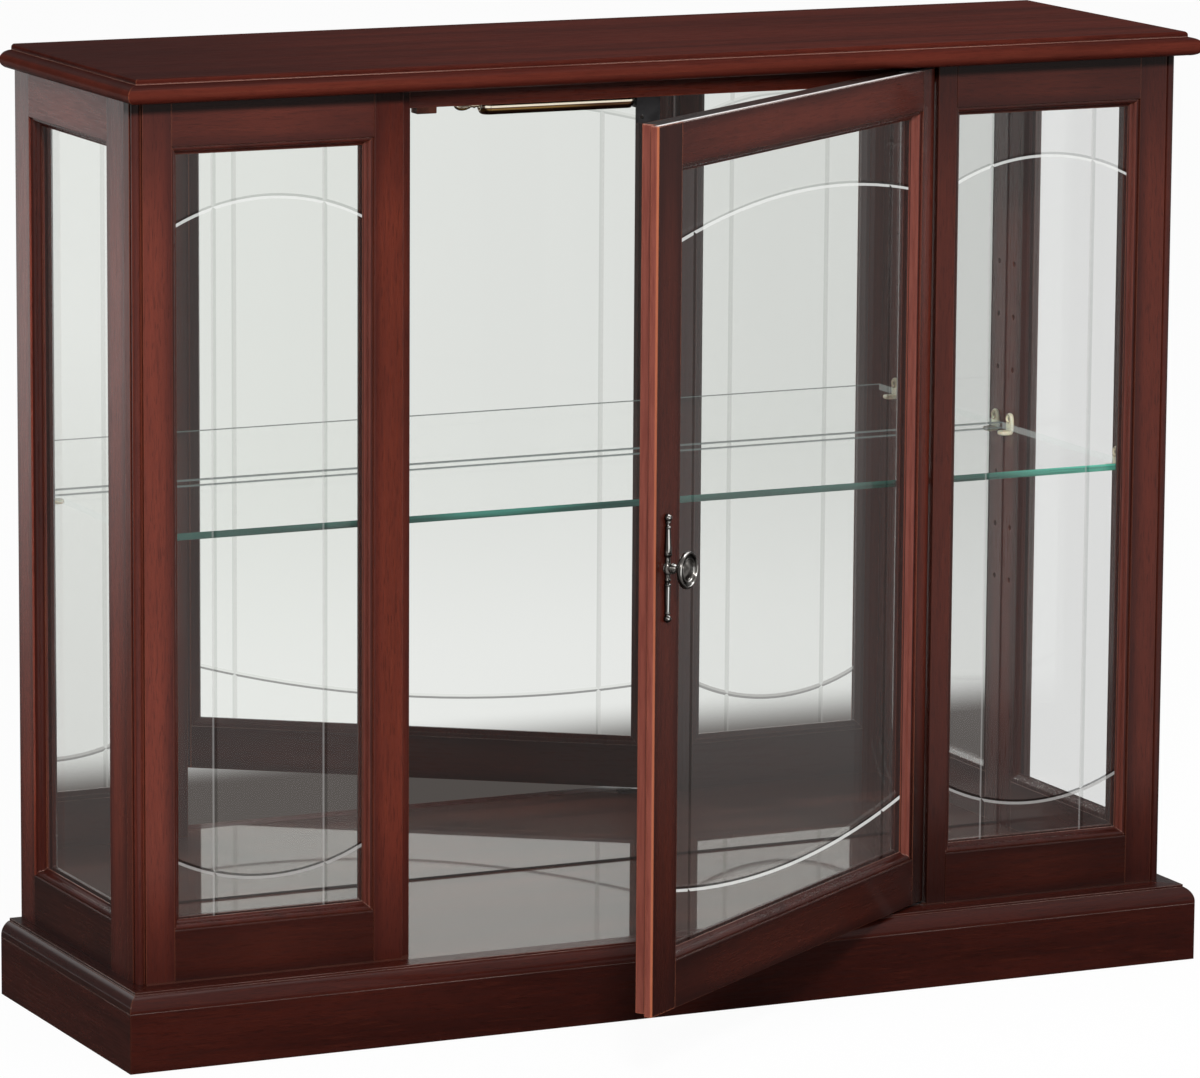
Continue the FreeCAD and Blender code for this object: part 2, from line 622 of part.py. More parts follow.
# Handle: a turned rod with a flat back that lies on the stile, a boss in its middle and a
# dished round knob on the boss.
def make_handle():
    x = door_left + s.rod_inset
    axis_y = front - s.rod_stand_off
    radius = s.rod_radius
    half = s.rod_length / 2
    # Shares of the half length and of the rod's radius, from the middle to the end.
    half_outline_shares = (
        (0.0, 1.3), (0.09, 1.3), (0.13, 1.2), (0.17, 0.8), (0.24, 0.75), (0.28, 1.1),
        (0.31, 1.1), (0.34, 0.95), (0.60, 0.92), (0.74, 0.8), (0.76, 1.05), (0.79, 1.05),
        (0.81, 0.7), (0.84, 0.9), (0.87, 0.7), (0.90, 1.05), (0.94, 1.25), (0.975, 1.0),
        (1.0, 0.0))
    up = [at(x + share * radius, axis_y, s.rod_centre_height + part * half)
          for part, share in half_outline_shares]
    down = [at(x + share * radius, axis_y, s.rod_centre_height - part * half)
            for part, share in reversed(half_outline_shares[1:])]
    shape = turned_shape(down + up, at(x, axis_y, s.rod_centre_height), Z)
    inside = Part.makeBox(s.knob_radius, s.knob_radius, s.rod_length,
                          at(x - s.knob_radius / 2, front, s.rod_centre_height - half))
    shape = shape.cut(inside)
    boss_share = 1.7
    boss = Part.makeCylinder(radius * boss_share, s.knob_boss_reach,
                             at(x, front - s.knob_boss_reach, s.rod_centre_height), Y)
    keep(feature("handle_rod", shape.fuse(boss).removeSplitter(), door_turn))
    # Shares of the knob's reach beyond the boss and of its radius, from the boss outward.
    knob_shares = (
        (0.0, 0.0), (0.0, 0.27), (0.10, 0.25), (0.30, 0.22), (0.46, 0.26), (0.56, 0.48),
        (0.64, 0.78), (0.72, 0.95), (0.80, 1.0), (0.88, 0.985), (0.93, 0.93), (0.945, 0.86),
        (0.92, 0.80), (0.86, 0.70), (0.83, 0.58), (0.84, 0.44), (0.90, 0.32), (0.97, 0.22),
        (1.0, 0.10), (1.0, 0.0))
    reach = s.knob_reach - s.knob_boss_reach
    points = [at(x + share * s.knob_radius, front - s.knob_boss_reach - part * reach,
                 s.rod_centre_height) for part, share in knob_shares]
    keep(feature("knob", turned_shape(points, at(x, front, s.rod_centre_height), Y), door_turn))


# Catch: a magnet under the header and a steel plate on the back of the door's free stile.
def make_catch():
    left = opening_left + s.catch_inset
    top = carcass_top - s.header_height
    body = board("catch_body", "sizes.catch_width", "sizes.catch_depth", "sizes.catch_height",
                 at(left, inner_front + s.strike_thick + s.catch_gap, top - s.catch_height))
    keep(rounded("magnetic_catch", body,
                 lambda p, d: p.z < top - s.catch_height + s.fit_gap))
    plate = board("strike_plate", "sizes.catch_width", "sizes.strike_thick",
                  "sizes.strike_height", ORIGIN)
    plate.Placement = door_turn.multiply(FreeCAD.Placement(
        at(left, inner_front, top - s.strike_height), FreeCAD.Rotation()))
    keep(plate)


# Back: a mirror over the whole width in front of a thin board, held by countersunk screws.
def screw_places():
    height_shares = (0.1, 0.5, 0.9)
    width_shares = (-0.7, 0.0, 0.7)
    edge = inner_half + s.back_overlap / 2
    places = [(side * edge, base_top + share * s.carcass_height)
              for side in (-1, 1) for share in height_shares]
    places += [(share * inner_half, s.plinth_height + s.cap_height / 2) for share in width_shares]
    return places


def screw_shape(x, z, clearance):
    """One countersunk screw from the rear face inward, or its hole when there is a clearance."""
    head = s.screw_head + clearance
    shank = s.screw_radius + clearance
    point_share = 0.4
    points = [at(x, rear, z), at(x + head, rear, z),
              at(x + shank, rear - (s.screw_head - s.screw_radius), z),
              at(x + shank, rear - s.screw_length + s.screw_head, z),
              at(x + shank * point_share, rear - s.screw_length - clearance, z),
              at(x, rear - s.screw_length - clearance, z)]
    return turned_shape(points, at(x, rear, z), Y)


def make_back(screws):
    keep(board("mirror", INNER_WIDTH + " - 2 * sizes.mirror_gap", "sizes.mirror_thick",
               "sizes.carcass_height - sizes.mirror_gap",
               at(s.mirror_gap - inner_half, mirror_front, base_top)))
    panel = board("back_board", INNER_WIDTH + " + 2 * sizes.back_overlap", "sizes.back_thick",
                  "sizes.carcass_height", at(-inner_half - s.back_overlap, back_front, base_top))
    apron = board("back_apron", "sizes.plinth_width - 2 * sizes.cap_width", "sizes.back_thick",
                  "sizes.cap_height", at(-cap_inner, back_front, s.plinth_height))
    keep(cut("back_panel", fuse("back_whole", panel, apron), screws))
    shapes = [screw_shape(x, z, 0) for x, z in screw_places()]
    keep(feature("back_screws", Part.makeCompound(shapes)))


# Shelf: a glass plate with a plate groove near its rear edge, on four moulded clips.
def make_shelf():
    plate = board("shelf_plate", INNER_WIDTH + " - 2 * sizes.clip_plate",
                  INNER_DEPTH + " - sizes.back_thick - sizes.mirror_thick"
                  " - sizes.shelf_front_gap - sizes.shelf_rear_gap", "sizes.shelf_thick",
                  at(-shelf_half, shelf_front, s.shelf_height))
    y = shelf_rear - s.shelf_groove_inset
    top = s.shelf_height + s.shelf_thick
    half = s.groove_width / 2
    points = [at(-shelf_half, y - half, top), at(-shelf_half, y, top - s.groove_depth),
              at(-shelf_half, y + half, top)]
    groove = Part.Face(Part.makePolygon(points + points[:1])).extrude(X * (2 * shelf_half))
    keep(cut("glass_shelf", plate, feature("shelf_groove", groove)))
    clips = []
    for outward in (-1, 1):
        for y in hole_rows.values():
            clips.append(clip_shape(outward, y))
    keep(feature("shelf_clips", Part.makeCompound(clips)))


def clip_shape(outward, y):
    """A round-topped plate on the side, a foot under the shelf and a pin in the shelf hole."""
    wall = inner_half * outward
    face = shelf_half * outward
    half = s.clip_width / 2
    low = s.shelf_height - s.clip_foot
    high = hole_height + s.clip_recess_radius
    thick = s.clip_plate
    left = min(wall, face)
    plate = Part.makeBox(thick, s.clip_width, high - low, at(left, y - half, low))
    plate = plate.fuse(Part.makeCylinder(half, thick, at(left, y, high), X))
    foot_left = wall if outward < 0 else wall - s.clip_foot_reach
    foot = Part.makeBox(s.clip_foot_reach, s.clip_width, s.clip_foot,
                        at(foot_left, y - half, low))
    pin = Part.makeCylinder(s.clip_pin_radius, s.clip_pin_length,
                            at(wall, y, hole_height), X * outward)
    recess = Part.makeCylinder(s.clip_recess_radius, s.clip_recess_depth,
                               at(face, y, high), X * outward)
    return plate.fuse([foot, pin]).cut(recess).removeSplitter()


# Lamp: a brass canopy with round ends, a glass tube in it, a steel bracket and a small switch.
def make_lamp():
    y = front + s.lamp_set_back
    z = carcass_top - s.lamp_axis_drop
    length = s.lamp_length
    start = at(opening_left + s.lamp_inset, y, z)
    outer = Part.makeCylinder(s.lamp_radius, length, start, X)
    hollow = Part.makeCylinder(s.lamp_radius - s.lamp_wall, length - 2 * s.lamp_wall,
                               start + X * s.lamp_wall, X)
    size = 2 * s.lamp_radius
    below = Part.makeBox(length, size, size,
                         start + at(0, -s.lamp_radius, -s.lamp_opening_drop - size))
    keep(feature("lamp_canopy", outer.cut(hollow).cut(below)))
    glass_length = length - 2 * s.lamp_wall - 2 * s.tube_end
    tube = Part.makeCylinder(s.tube_radius, glass_length,
                             start + X * (s.lamp_wall + s.tube_end), X)
    cap_share = 0.8
    caps = [Part.makeCylinder(s.tube_radius * cap_share, s.tube_end, start + X * place, X)
            for place in (s.lamp_wall, length - s.lamp_wall - s.tube_end)]
    keep(feature("lamp_tube", tube.fuse(caps)))
    make_bracket(start + X * length)
    make_switch(start)


def make_bracket(end):
    """A flange under the top, a web against the canopy's end and a lug with a screw hole."""
    left, y = end.x, end.y
    thick = s.bracket_thick
    half = s.bracket_width / 2
    flange = Part.makeBox(s.bracket_reach, s.bracket_width, thick,
                          at(left, y - half, carcass_top - thick))
    web_drop = s.lamp_axis_drop + s.lamp_opening_drop
    web = Part.makeBox(thick, s.bracket_width, web_drop, at(left, y - half, carcass_top - web_drop))
    lug = Part.makeBox(s.bracket_reach, thick, s.bracket_drop,
                       at(left, y - half, carcass_top - s.bracket_drop))
    hole = Part.makeCylinder(s.bracket_hole_radius, thick,
                             at(left + s.bracket_hole_inset, y - half,
                                carcass_top - s.bracket_drop + s.bracket_hole_inset), Y)
    keep(feature("lamp_bracket", flange.fuse([web, lug]).cut(hole).removeSplitter()))


def make_switch(start):
    """A stem out of the canopy's left end with a ribbed knob on it."""
    stem = s.switch_stem_radius
    knob = s.switch_radius
    # Shares of the length away from the canopy, with the radius as stem or knob shares.
    outline_shares = ((0.0, 0.0, 0.0), (0.0, 1.0, 0.0), (0.35, 1.0, 0.0), (0.35, 0.0, 0.8),
                      (0.42, 0.0, 1.0), (0.9, 0.0, 1.0), (1.0, 0.0, 0.75), (1.0, 0.0, 0.0))
    points = [start + at(-part * s.switch_length, 0, stem_share * stem + knob_share * knob)
              for part, stem_share, knob_share in outline_shares]
    shape = turned_shape(points, start, X)
    rib_share, rib_count = 0.12, 12
    for number in range(rib_count):
        angle = 2 * math.pi * number / rib_count
        centre = start + at(-s.switch_length, math.cos(angle) * knob, math.sin(angle) * knob)
        shape = shape.cut(Part.makeCylinder(knob * rib_share, s.switch_length * 0.6, centre, X))
    keep(feature("lamp_switch", shape))


make_plinth()
make_base_caps()
screw_holes = feature("screw_holes", Part.makeCompound(
    [screw_shape(x, z, s.screw_clearance) for x, z in screw_places()]))
make_floor(screw_holes)
make_outer_stile("left_front_outer_stile", -1)
make_outer_stile("right_front_outer_stile", 1)
make_inner_stiles()
make_front_rails()
make_side_frames(screw_holes)
make_header()
make_top()
make_glazing()
make_door()
make_hinges()
make_handle()
make_catch()
make_back(screw_holes)
make_shelf()
make_lamp()

# Every object is checked before the first file is written.
doc.recompute()
for thing in doc.Objects:
    if "Invalid" in thing.State or "Error" in thing.State:
        raise RuntimeError("%s did not build" % thing.Name)
for thing in subparts:
    if thing.Shape.isNull() or not thing.Shape.isValid() or not thing.Shape.Solids:
        raise RuntimeError("%s has no valid solid" % thing.Name)
for thing in subparts:
    thing.Label = thing.Name
    thing.Shape.exportStep("parts/%s.step" % thing.Label)
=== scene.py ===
import math
import bpy
import numpy as np
from mathutils import Matrix


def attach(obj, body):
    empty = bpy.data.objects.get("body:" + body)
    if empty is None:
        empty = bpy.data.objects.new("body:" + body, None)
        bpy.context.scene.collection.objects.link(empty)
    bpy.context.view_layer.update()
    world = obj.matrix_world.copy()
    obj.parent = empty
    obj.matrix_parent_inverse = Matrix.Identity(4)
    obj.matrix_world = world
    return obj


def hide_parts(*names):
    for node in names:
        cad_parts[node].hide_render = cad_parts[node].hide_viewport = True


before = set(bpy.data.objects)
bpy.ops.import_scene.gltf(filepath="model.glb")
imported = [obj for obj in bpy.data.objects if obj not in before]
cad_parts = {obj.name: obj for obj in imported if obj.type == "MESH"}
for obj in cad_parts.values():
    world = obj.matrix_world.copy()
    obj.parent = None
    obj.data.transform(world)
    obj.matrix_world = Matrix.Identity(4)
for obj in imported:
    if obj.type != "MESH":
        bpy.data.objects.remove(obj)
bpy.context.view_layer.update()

# Plinth and its moulded cap: boards of mahogany-coloured stock with a fine straight grain and
# short dark pores under clear lacquer. They are mitred round the corners, with the grain
# level, and set darker than the frames above them: partly stain, partly painted shade of the
# low part of the case.


class Wire:
    """A node socket of a finish, with arithmetic: each operator adds one Math node."""

    def __init__(self, finish, socket):
        self.finish = finish
        self.socket = socket

    def math(self, operation, *values):
        return self.finish.node("ShaderNodeMath", {"operation": operation},
                                inputs=enumerate(values))

    def __add__(self, other):
        return self.math("ADD", self, other)

    def __sub__(self, other):
        return self.math("SUBTRACT", self, other)

    def __rsub__(self, other):
        return self.math("SUBTRACT", other, self)

    def __mul__(self, other):
        return self.math("MULTIPLY", self, other)

    def __gt__(self, other):
        return self.math("GREATER_THAN", self, other)

    def __lt__(self, other):
        return self.math("LESS_THAN", self, other)

    __radd__ = __add__
    __rmul__ = __mul__

    def larger(self, other):
        return self.math("MAXIMUM", self, other)

    def power(self, other):
        return self.math("POWER", self, other)

    def absolute(self):
        return self.math("ABSOLUTE", self)

    def over(self, low, high):
        """Rises smoothly from 0 to 1 as the value goes from low to high."""
        return self.finish.node("ShaderNodeMapRange", {"interpolation_type": "SMOOTHSTEP"},
                                Value=self, From_Min=low, From_Max=high)

    def between(self, low, high, soft):
        """1 from low to high and 0 outside, each limit softened to both its sides."""
        return self.over(low - soft, low + soft) * (1 - self.over(high - soft, high + soft))

    def part(self, name):
        """Another output of the same node."""
        return Wire(self.finish, self.socket.node.outputs[name])


class Finish:
    """A node material, or the nodes of the world, put together from wires."""

    def __init__(self, name, tree=None):
        self.material = None
        if tree is None:
            self.material = bpy.data.materials.new(name)
            self.material.use_nodes = True
            tree = self.material.node_tree
        self.tree = tree
        self.tree.nodes.clear()

    def node(self, kind, settings=None, output=0, inputs=(), **named):
        """Adds a node: its settings first, then inputs by number or by name."""
        node = self.tree.nodes.new(kind)
        for name, value in (settings or {}).items():
            setattr(node, name, value)
        pairs = [(name.replace("_", " "), value) for name, value in named.items()]
        for key, value in pairs + list(inputs):
            if isinstance(value, Wire):
                self.tree.links.new(value.socket, node.inputs[key])
            elif isinstance(value, tuple) and node.inputs[key].type == "RGBA":
                node.inputs[key].default_value = (*value, 1.0)
            else:
                node.inputs[key].default_value = value
        return Wire(self, node.outputs[output])

    def place(self):
        return self.node("ShaderNodeTexCoord", output="Object")

    def normal(self):
        """The way that a face looks. It keeps to the piece when a joint moves it."""
        return self.node("ShaderNodeTexCoord", output="Normal")

    def turned(self, vector, turn):
        """The vector as it was before its piece was turned about Z."""
        return self.node("ShaderNodeMapping", Vector=vector, Rotation=(0, 0, -turn))

    def stretched(self, vector, scale, shift=(0, 0, 0)):
        return self.node("ShaderNodeMapping", Vector=vector, Scale=scale, Location=shift)

    def split(self, vector):
        """The three coordinates of a vector."""
        x = self.node("ShaderNodeSeparateXYZ", Vector=vector)
        return x, x.part("Y"), x.part("Z")

    def agreement(self, one, other):
        """The cosine of the angle between two directions."""
        return self.node("ShaderNodeVectorMath", {"operation": "DOT_PRODUCT"}, "Value",
                         ((0, one), (1, other)))

    def noise(self, vector, scale, detail=3.0, roughness=0.5, distortion=0.0):
        return self.node("ShaderNodeTexNoise", Vector=vector, Scale=scale, Detail=detail,
                         Roughness=roughness, Distortion=distortion)

    def blend(self, share, low, high):
        """A colour between two colours."""
        return self.node("ShaderNodeMix", {"data_type": "RGBA"}, 2,
                         ((0, share), (6, low), (7, high)))

    def bump(self, height, strength, distance, **more):
        return self.node("ShaderNodeBump", Height=height, Strength=strength,
                         Distance=distance, **more)

    def surface(self, **named):
        return self.node("ShaderNodeBsdfPrincipled", **named)

    def either(self, share, first, second):
        """The first shader where the share is 0, the second where it is 1."""
        return self.node("ShaderNodeMixShader", inputs=((0, share), (1, first), (2, second)))

    def done(self, shader, output="ShaderNodeOutputMaterial"):
        out = self.tree.nodes.new(output)
        self.tree.links.new(shader.socket, out.inputs["Surface"])
        return self.material


def extent(name, turn=0.0):
    """Lowest and highest coordinates of a node, as they were before it was turned."""
    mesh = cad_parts[name].data
    points = np.empty(len(mesh.vertices) * 3)
    mesh.vertices.foreach_get("co", points)
    x, y, z = points.reshape(-1, 3).T
    c, s = math.cos(turn), math.sin(turn)
    points = np.stack([c * x + s * y, c * y - s * x, z], 1)
    return points.min(0), points.max(0)


def dress(material, *names):
    """Gives one finish to CAD nodes, in every slot of their objects."""
    for name in names:
        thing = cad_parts[name]
        if not thing.material_slots:
            thing.data.materials.append(material)
        for slot in thing.material_slots:
            slot.link = "OBJECT"
            slot.material = material


DEEP_STAIN = (0.040, 0.0076, 0.0056)
MIDDLE_STAIN = (0.150, 0.0255, 0.0155)
WARM_STREAK = (0.225, 0.048, 0.026)
PORE = (0.016, 0.004, 0.003)
WORN_ARRIS = (0.42, 0.13, 0.065)
PAINTED_ARRIS_HIGHLIGHT = (0.92, 0.78, 0.72)
GRAIN_SQUEEZE = 15.0
END_SHADE = 0.14


class Board(Finish):
    """The finish of one piece of wood, laid out along its own grain.

    Places and directions are those of the piece before it was turned with the door. Each
    piece has its own part of the noise, so that no two look alike.
    """

    def __init__(self, name, grain, tone, turn=0.0):
        super().__init__("wood of " + name)
        self.low, self.high = extent(name, turn)
        self.tone = tone
        self.run = "XYZ".index(grain)
        plain = self.turned(self.place(), turn)
        self.at = self.split(plain)
        self.facing = self.split(self.turned(self.normal(), turn))
        self.flat = self.node("ShaderNodeNewGeometry", output="Normal")
        self.upward = self.split(self.flat)[2]
        squeeze = np.full(3, GRAIN_SQUEEZE)
        squeeze[self.run] = 1.0
        shift = tuple(float(v) for v in 7.0 * (self.low + self.high))
        along = self.stretched(plain, tuple(squeeze), shift)
        self.cloud = self.noise(self.stretched(plain, (1, 1, 1), shift), 5.0, 2.0)
        self.ribbon = self.noise(along, 2.0, 3.0, 0.55, 0.6)
        self.fibre = self.noise(along, 30.0, 3.0, 0.6)
        self.pore = self.noise(along, 85.0, 1.0, 0.4)

    def shade(self, colour):
        return tuple(self.tone * c for c in colour)

    def half(self, axis):
        """Half the size of the piece along an axis."""
        return float(self.high[axis] - self.low[axis]) / 2

    def off_middle(self, axis):
        """Distance from the middle of the piece along an axis."""
        return (self.at[axis] - float(self.low[axis] + self.high[axis]) / 2).absolute()

    def stained(self):
        """Ribbons between two stains, with warm streaks along the fibres."""
        body = self.blend(0.30 + 0.55 * self.ribbon.over(0.25, 0.70), self.shade(DEEP_STAIN),
                          self.shade(MIDDLE_STAIN))
        return self.blend(self.fibre.over(0.50, 0.78) * 0.30, body, self.shade(WARM_STREAK))

    def glazed(self, body):
        """Redder along the middle of the width, with a dark glaze at long edges and ends."""
        widths = self.high - self.low
        widths[self.run] = 0
        across = int(np.argmax(widths))
        off = self.off_middle(across) * (1 / self.half(across))
        glow = 1 - (off + (self.cloud - 0.5) * 0.6).over(0.35, 1.10)
        edge_on = self.facing[across].absolute() > 0.8
        glow = glow.larger(edge_on * 0.9)
        end = self.off_middle(self.run) - (self.half(self.run) - END_SHADE)
        glow = glow * (1 - 0.60 * end.over(0.0, END_SHADE))
        body = self.blend(0.30 + 0.70 * glow, self.shade(DEEP_STAIN), body)
        body = self.blend(glow * 0.25, body, self.shade(WARM_STREAK))
        if self.run == 2:
            body = self.blend(end.over(0.02, END_SHADE) * 0.45, body, self.shade(DEEP_STAIN))
        return body

    def pored(self, body):
        """Dark fibres and short darker pores."""
        body = self.blend((1 - self.fibre.over(0.32, 0.46)) * 0.30, body,
                          self.shade(DEEP_STAIN))
        return self.blend((self.pore < 0.36) * 0.35, body, self.shade(PORE))

    def lacquered(self, body, coat, rough=0.24, coat_rough=0.06, sheen=0.10, worn=0.5, lit=0.3,
                  rubbed=None, arris_radius=0.0013):
        """Wears the arrises by the share worn, and puts the lacquer on.

        An arris is where the rounded normal leaves the flat one. Its colour is scaled by
        rubbed, and where it looks up it takes a painted highlight by the share lit.
        """
        rubbed = rubbed or 0.35 + 0.65 * self.tone
        soft = self.node("ShaderNodeBevel", {"samples": 3}, Radius=arris_radius)
        arris = (1 - self.agreement(soft, self.flat)).over(0.02, 0.20)
        arris = arris * (0.35 + 0.65 * self.cloud.over(0.35, 0.6))
        body = self.blend(arris * worn, body, tuple(rubbed * c for c in WORN_ARRIS))
        # Painted highlight: arrises that look up, on faces that don't, are painted near white.
        upward = self.split(soft)[2].over(0.30, 0.60) * (self.upward < 0.3)
        body = self.blend(arris * upward * lit, body, PAINTED_ARRIS_HIGHLIGHT)
        roughness = rough + 0.10 * (1 - self.fibre.over(0.3, 0.6)) + 0.06 * self.cloud
        return self.done(self.surface(Base_Color=body, Roughness=roughness,
                                      Normal=self.bump(self.fibre, 0.07, 0.0005, Normal=soft),
                                      Specular_IOR_Level=sheen, Coat_Weight=coat,
                                      Coat_IOR=1.32, Coat_Roughness=coat_rough))


def wood(grain, tone, *names, coat=0.35, **ways):
    """Dresses pieces of evenly stained wood without a glaze. Tone scales the stains."""
    for name in names:
        board = Board(name, grain, tone)
        dress(board.lacquered(board.pored(board.stained()), coat, **ways), name)


wood("X", 0.27, "plinth_front", coat=0.25, worn=0.15)
wood("Y", 0.33, "plinth_left", "plinth_right", coat=0.4, worn=0.15)
wood("X", 0.33, "base_cap_front", coat=0.2, worn=0.4)
wood("Y", 0.22, "base_cap_left", "base_cap_right", coat=0.8, worn=0.9, lit=0.7,
     coat_rough=0.03)

# Hidden wood of the plinth: the rear board, the bearer across its middle and the cleats that
# carry the floor panel are plain sawn softwood.


def plain_wood(name, pale, dark, grain):
    """Unpolished wood with wide soft streaks along the grain."""
    f = Finish(name)
    squeeze = np.full(3, 22.0)
    squeeze["XYZ".index(grain)] = 1.2
    along = f.stretched(f.place(), tuple(squeeze))
    streak = f.noise(along, 3.0, 4.0, 0.6, 0.8)
    speck = f.noise(along, 40.0, 2.0)
    body = f.blend(streak.over(0.3, 0.7), pale, dark)
    body = f.blend((speck < 0.4) * 0.3, body, tuple(c * 0.6 for c in dark))
    return f.done(f.surface(Base_Color=body, Roughness=0.62 + 0.2 * speck,
                            Normal=f.bump(speck + streak, 0.25, 0.0006)))


dress(plain_wood("sawn softwood", (0.42, 0.27, 0.15), (0.30, 0.17, 0.085), "X"),
      "plinth_rear", "plinth_centre_bearer", "floor_cleats")

# Floor panel: one wide board under a thick level lacquer. It is the most polished surface of
# the case and mirrors what stands on it.


def floor_wood():
    """Dark wood with scattered specks, level under a thick lacquer."""
    f = Finish("floor wood")
    plain = f.place()
    ribbon = f.noise(f.stretched(plain, (1.2, 14, 14)), 3.0, 3.0, 0.6, 0.5)
    speck = f.noise(f.stretched(plain, (40, 160, 160)), 1.0, 2.0, 0.5)
    smudge = f.noise(plain, 9.0, 3.0, 0.6)
    body = f.blend(ribbon.over(0.3, 0.7), (0.026, 0.008, 0.006), (0.075, 0.025, 0.017))
    body = f.blend(speck.over(0.60, 0.72) * 0.6, body, (0.010, 0.005, 0.004))
    return f.done(f.surface(Base_Color=body, Roughness=0.45, Specular_IOR_Level=0.1,
                            Coat_Weight=0.90 + 0.10 * smudge, Coat_IOR=1.6,
                            Coat_Roughness=0.02, Coat_Tint=(1.0, 0.96, 0.94),
                            Normal=f.bump(smudge, 0.02, 0.002)))


dress(floor_wood(), "floor_panel")

# Frames of the case: upright stiles with rails between them, and a header rail over the door
# opening, glued flush. Each piece is redder and paler along its middle, with a dark glaze
# toward its long edges. The front pieces end in a painted shadow of the top board, and some
# pieces have painted shade at their foot.
UNDER_TOP = 0.800
PAINTED_SHADOW = (0.004, 0.002, 0.0015)
FOOT_LOW, FOOT_HIGH = 0.10, 0.36
PAINTED_FOOT_SHADE = (0.007, 0.0025, 0.002)


def framing(grain, tone, *names, turn=0.0, changes=(), foot_dark=0.0, under_top=False,
            coat=0.35, **ways):
    """Dresses pieces of a frame. Turn is how far they are turned open with the door.

    The functions in changes recolour single faces with painted light. The lowest third is
    darker by the share foot_dark, a painted shade, and a piece under_top gets a painted
    shadow of the top board at its upper end.
    """
    for name in names:
        board = Board(name, grain, tone, turn)
        body = board.pored(board.glazed(board.stained()))
        coat_weight = coat
        for change in changes:
            body = change(board, body)
        # Painted shade, darkest at the foot. It dulls the lacquer there too.
        if foot_dark:
            foot = (1 - board.at[2].over(FOOT_LOW, FOOT_HIGH)) * foot_dark
            body = board.blend(foot, body, PAINTED_FOOT_SHADE)
            coat_weight = coat * (1 - 0.5 * foot)
        # Painted shadow of the top board over the upper end. It dulls the lacquer too.
        if under_top:
            shadow = board.at[2].over(UNDER_TOP - 0.006, UNDER_TOP)
            body = board.blend(shadow * 0.85, body, PAINTED_SHADOW)
            coat_weight = coat * (1 - 0.75 * shadow)
        dress(board.lacquered(body, coat_weight, **ways), name)


# The tones differ from piece to piece. Besides the stain they hold painted light and shade:
# paler on the left side and the header, darker on the right and low down.
framing("Z", 0.76, "left_front_outer_stile", under_top=True)
framing("Z", 0.70, "left_front_inner_stile", under_top=True)
framing("Z", 0.95, "left_side_front_stile", coat=0.60)
framing("Z", 1.0, "left_side_rear_stile", coat=0.80)
framing("Z", 0.44, "right_front_inner_stile", under_top=True, foot_dark=0.55)
framing("Z", 0.46, "right_front_outer_stile", under_top=True)
framing("Z", 0.46, "right_side_front_stile", "right_side_rear_stile")
framing("X", 0.54, "left_front_top_rail", under_top=True)
framing("X", 0.38, "right_front_top_rail", under_top=True)
framing("X", 0.80, "header_rail", under_top=True)
framing("X", 0.36, "left_front_bottom_rail")
framing("X", 0.26, "right_front_bottom_rail")
framing("Y", 1.2, "left_side_top_rail", "right_side_top_rail", coat=0.50)
framing("Y", 0.34, "left_side_bottom_rail", "right_side_bottom_rail", coat=0.6)

# Window mouldings and inner beads: thin strips mitred round the panes, stained dark. What
# looks left on the front mouldings is paler with painted light, and the beads hold the glass
# from inside.
LEFT_FACE_PAINTED_LIGHT = (0.150, 0.038, 0.027)
LEFT_STREAK_PAINTED_LIGHT = (0.195, 0.054, 0.038)


def paler_left(board, body, share):
    """Faces that look left are paler with painted light, and streaked along the fibres."""
    streaked = board.blend(board.fibre.over(0.35, 0.65), LEFT_FACE_PAINTED_LIGHT, LEFT_STREAK_PAINTED_LIGHT)
    return board.blend((board.facing[0] < -0.5) * share, body, streaked)


def moulding(name, tone, left_lit, turn=0.0):
    """Dresses one moulding, with painted light on the left by the share left_lit."""
    board = Board(name, "Z", tone, turn)
    body = paler_left(board, board.pored(board.stained()), left_lit)
    dress(board.lacquered(body, 0.35, worn=0.9), name)


# Here too the tones hold painted light and shade: paler on the left, darker on the right.
moulding("left_front_moulding", 0.36, 0.4)
moulding("right_front_moulding", 0.26, 0.4)
wood("Z", 0.36, "left_side_moulding", worn=0.9)
wood("Z", 0.26, "right_side_moulding", worn=0.9)
wood("Z", 0.25, "front_glazing_beads", "side_glazing_beads")

# Panes of the case: clear 4 mm float glass with lines ground into the outer face and
# polished. The light that a line gathers is painted: pale on dark ground, a faint grey on
# pale ground. The side panes are plain.
PANE_MIDDLE = 0.5


def lit(f, colour):
    """A colour that lamps and shadows don't change."""
    return f.node("ShaderNodeEmission", Color=colour, Strength=1.0)


def tinted(f, colour):
    """Light that goes straight through, with a tint."""
    return f.node("ShaderNodeBsdfTransparent", Color=colour)


def clear_sheet(f, tint, most=0.97, painted_reflection=0.014):
    """Glass seen through under a faint brown-grey painted reflection, more mirror-like at a
    glance.
    """
    glance = f.node("ShaderNodeLayerWeight", output="Facing", Blend=0.5)
    share = 0.004 + most * glance.power(5.0)
    shine = f.node("ShaderNodeBsdfGlossy", Color=(1.0, 1.0, 1.0), Roughness=0.01)
    # A thin brown-grey glow over the glass: painted reflection.
    return f.either(painted_reflection, f.either(share, tinted(f, tint), shine), lit(f, (0.78, 0.68, 0.66)))


def plain_pane(name, tint):
    f = Finish(name)
    return f.done(clear_sheet(f, tint))


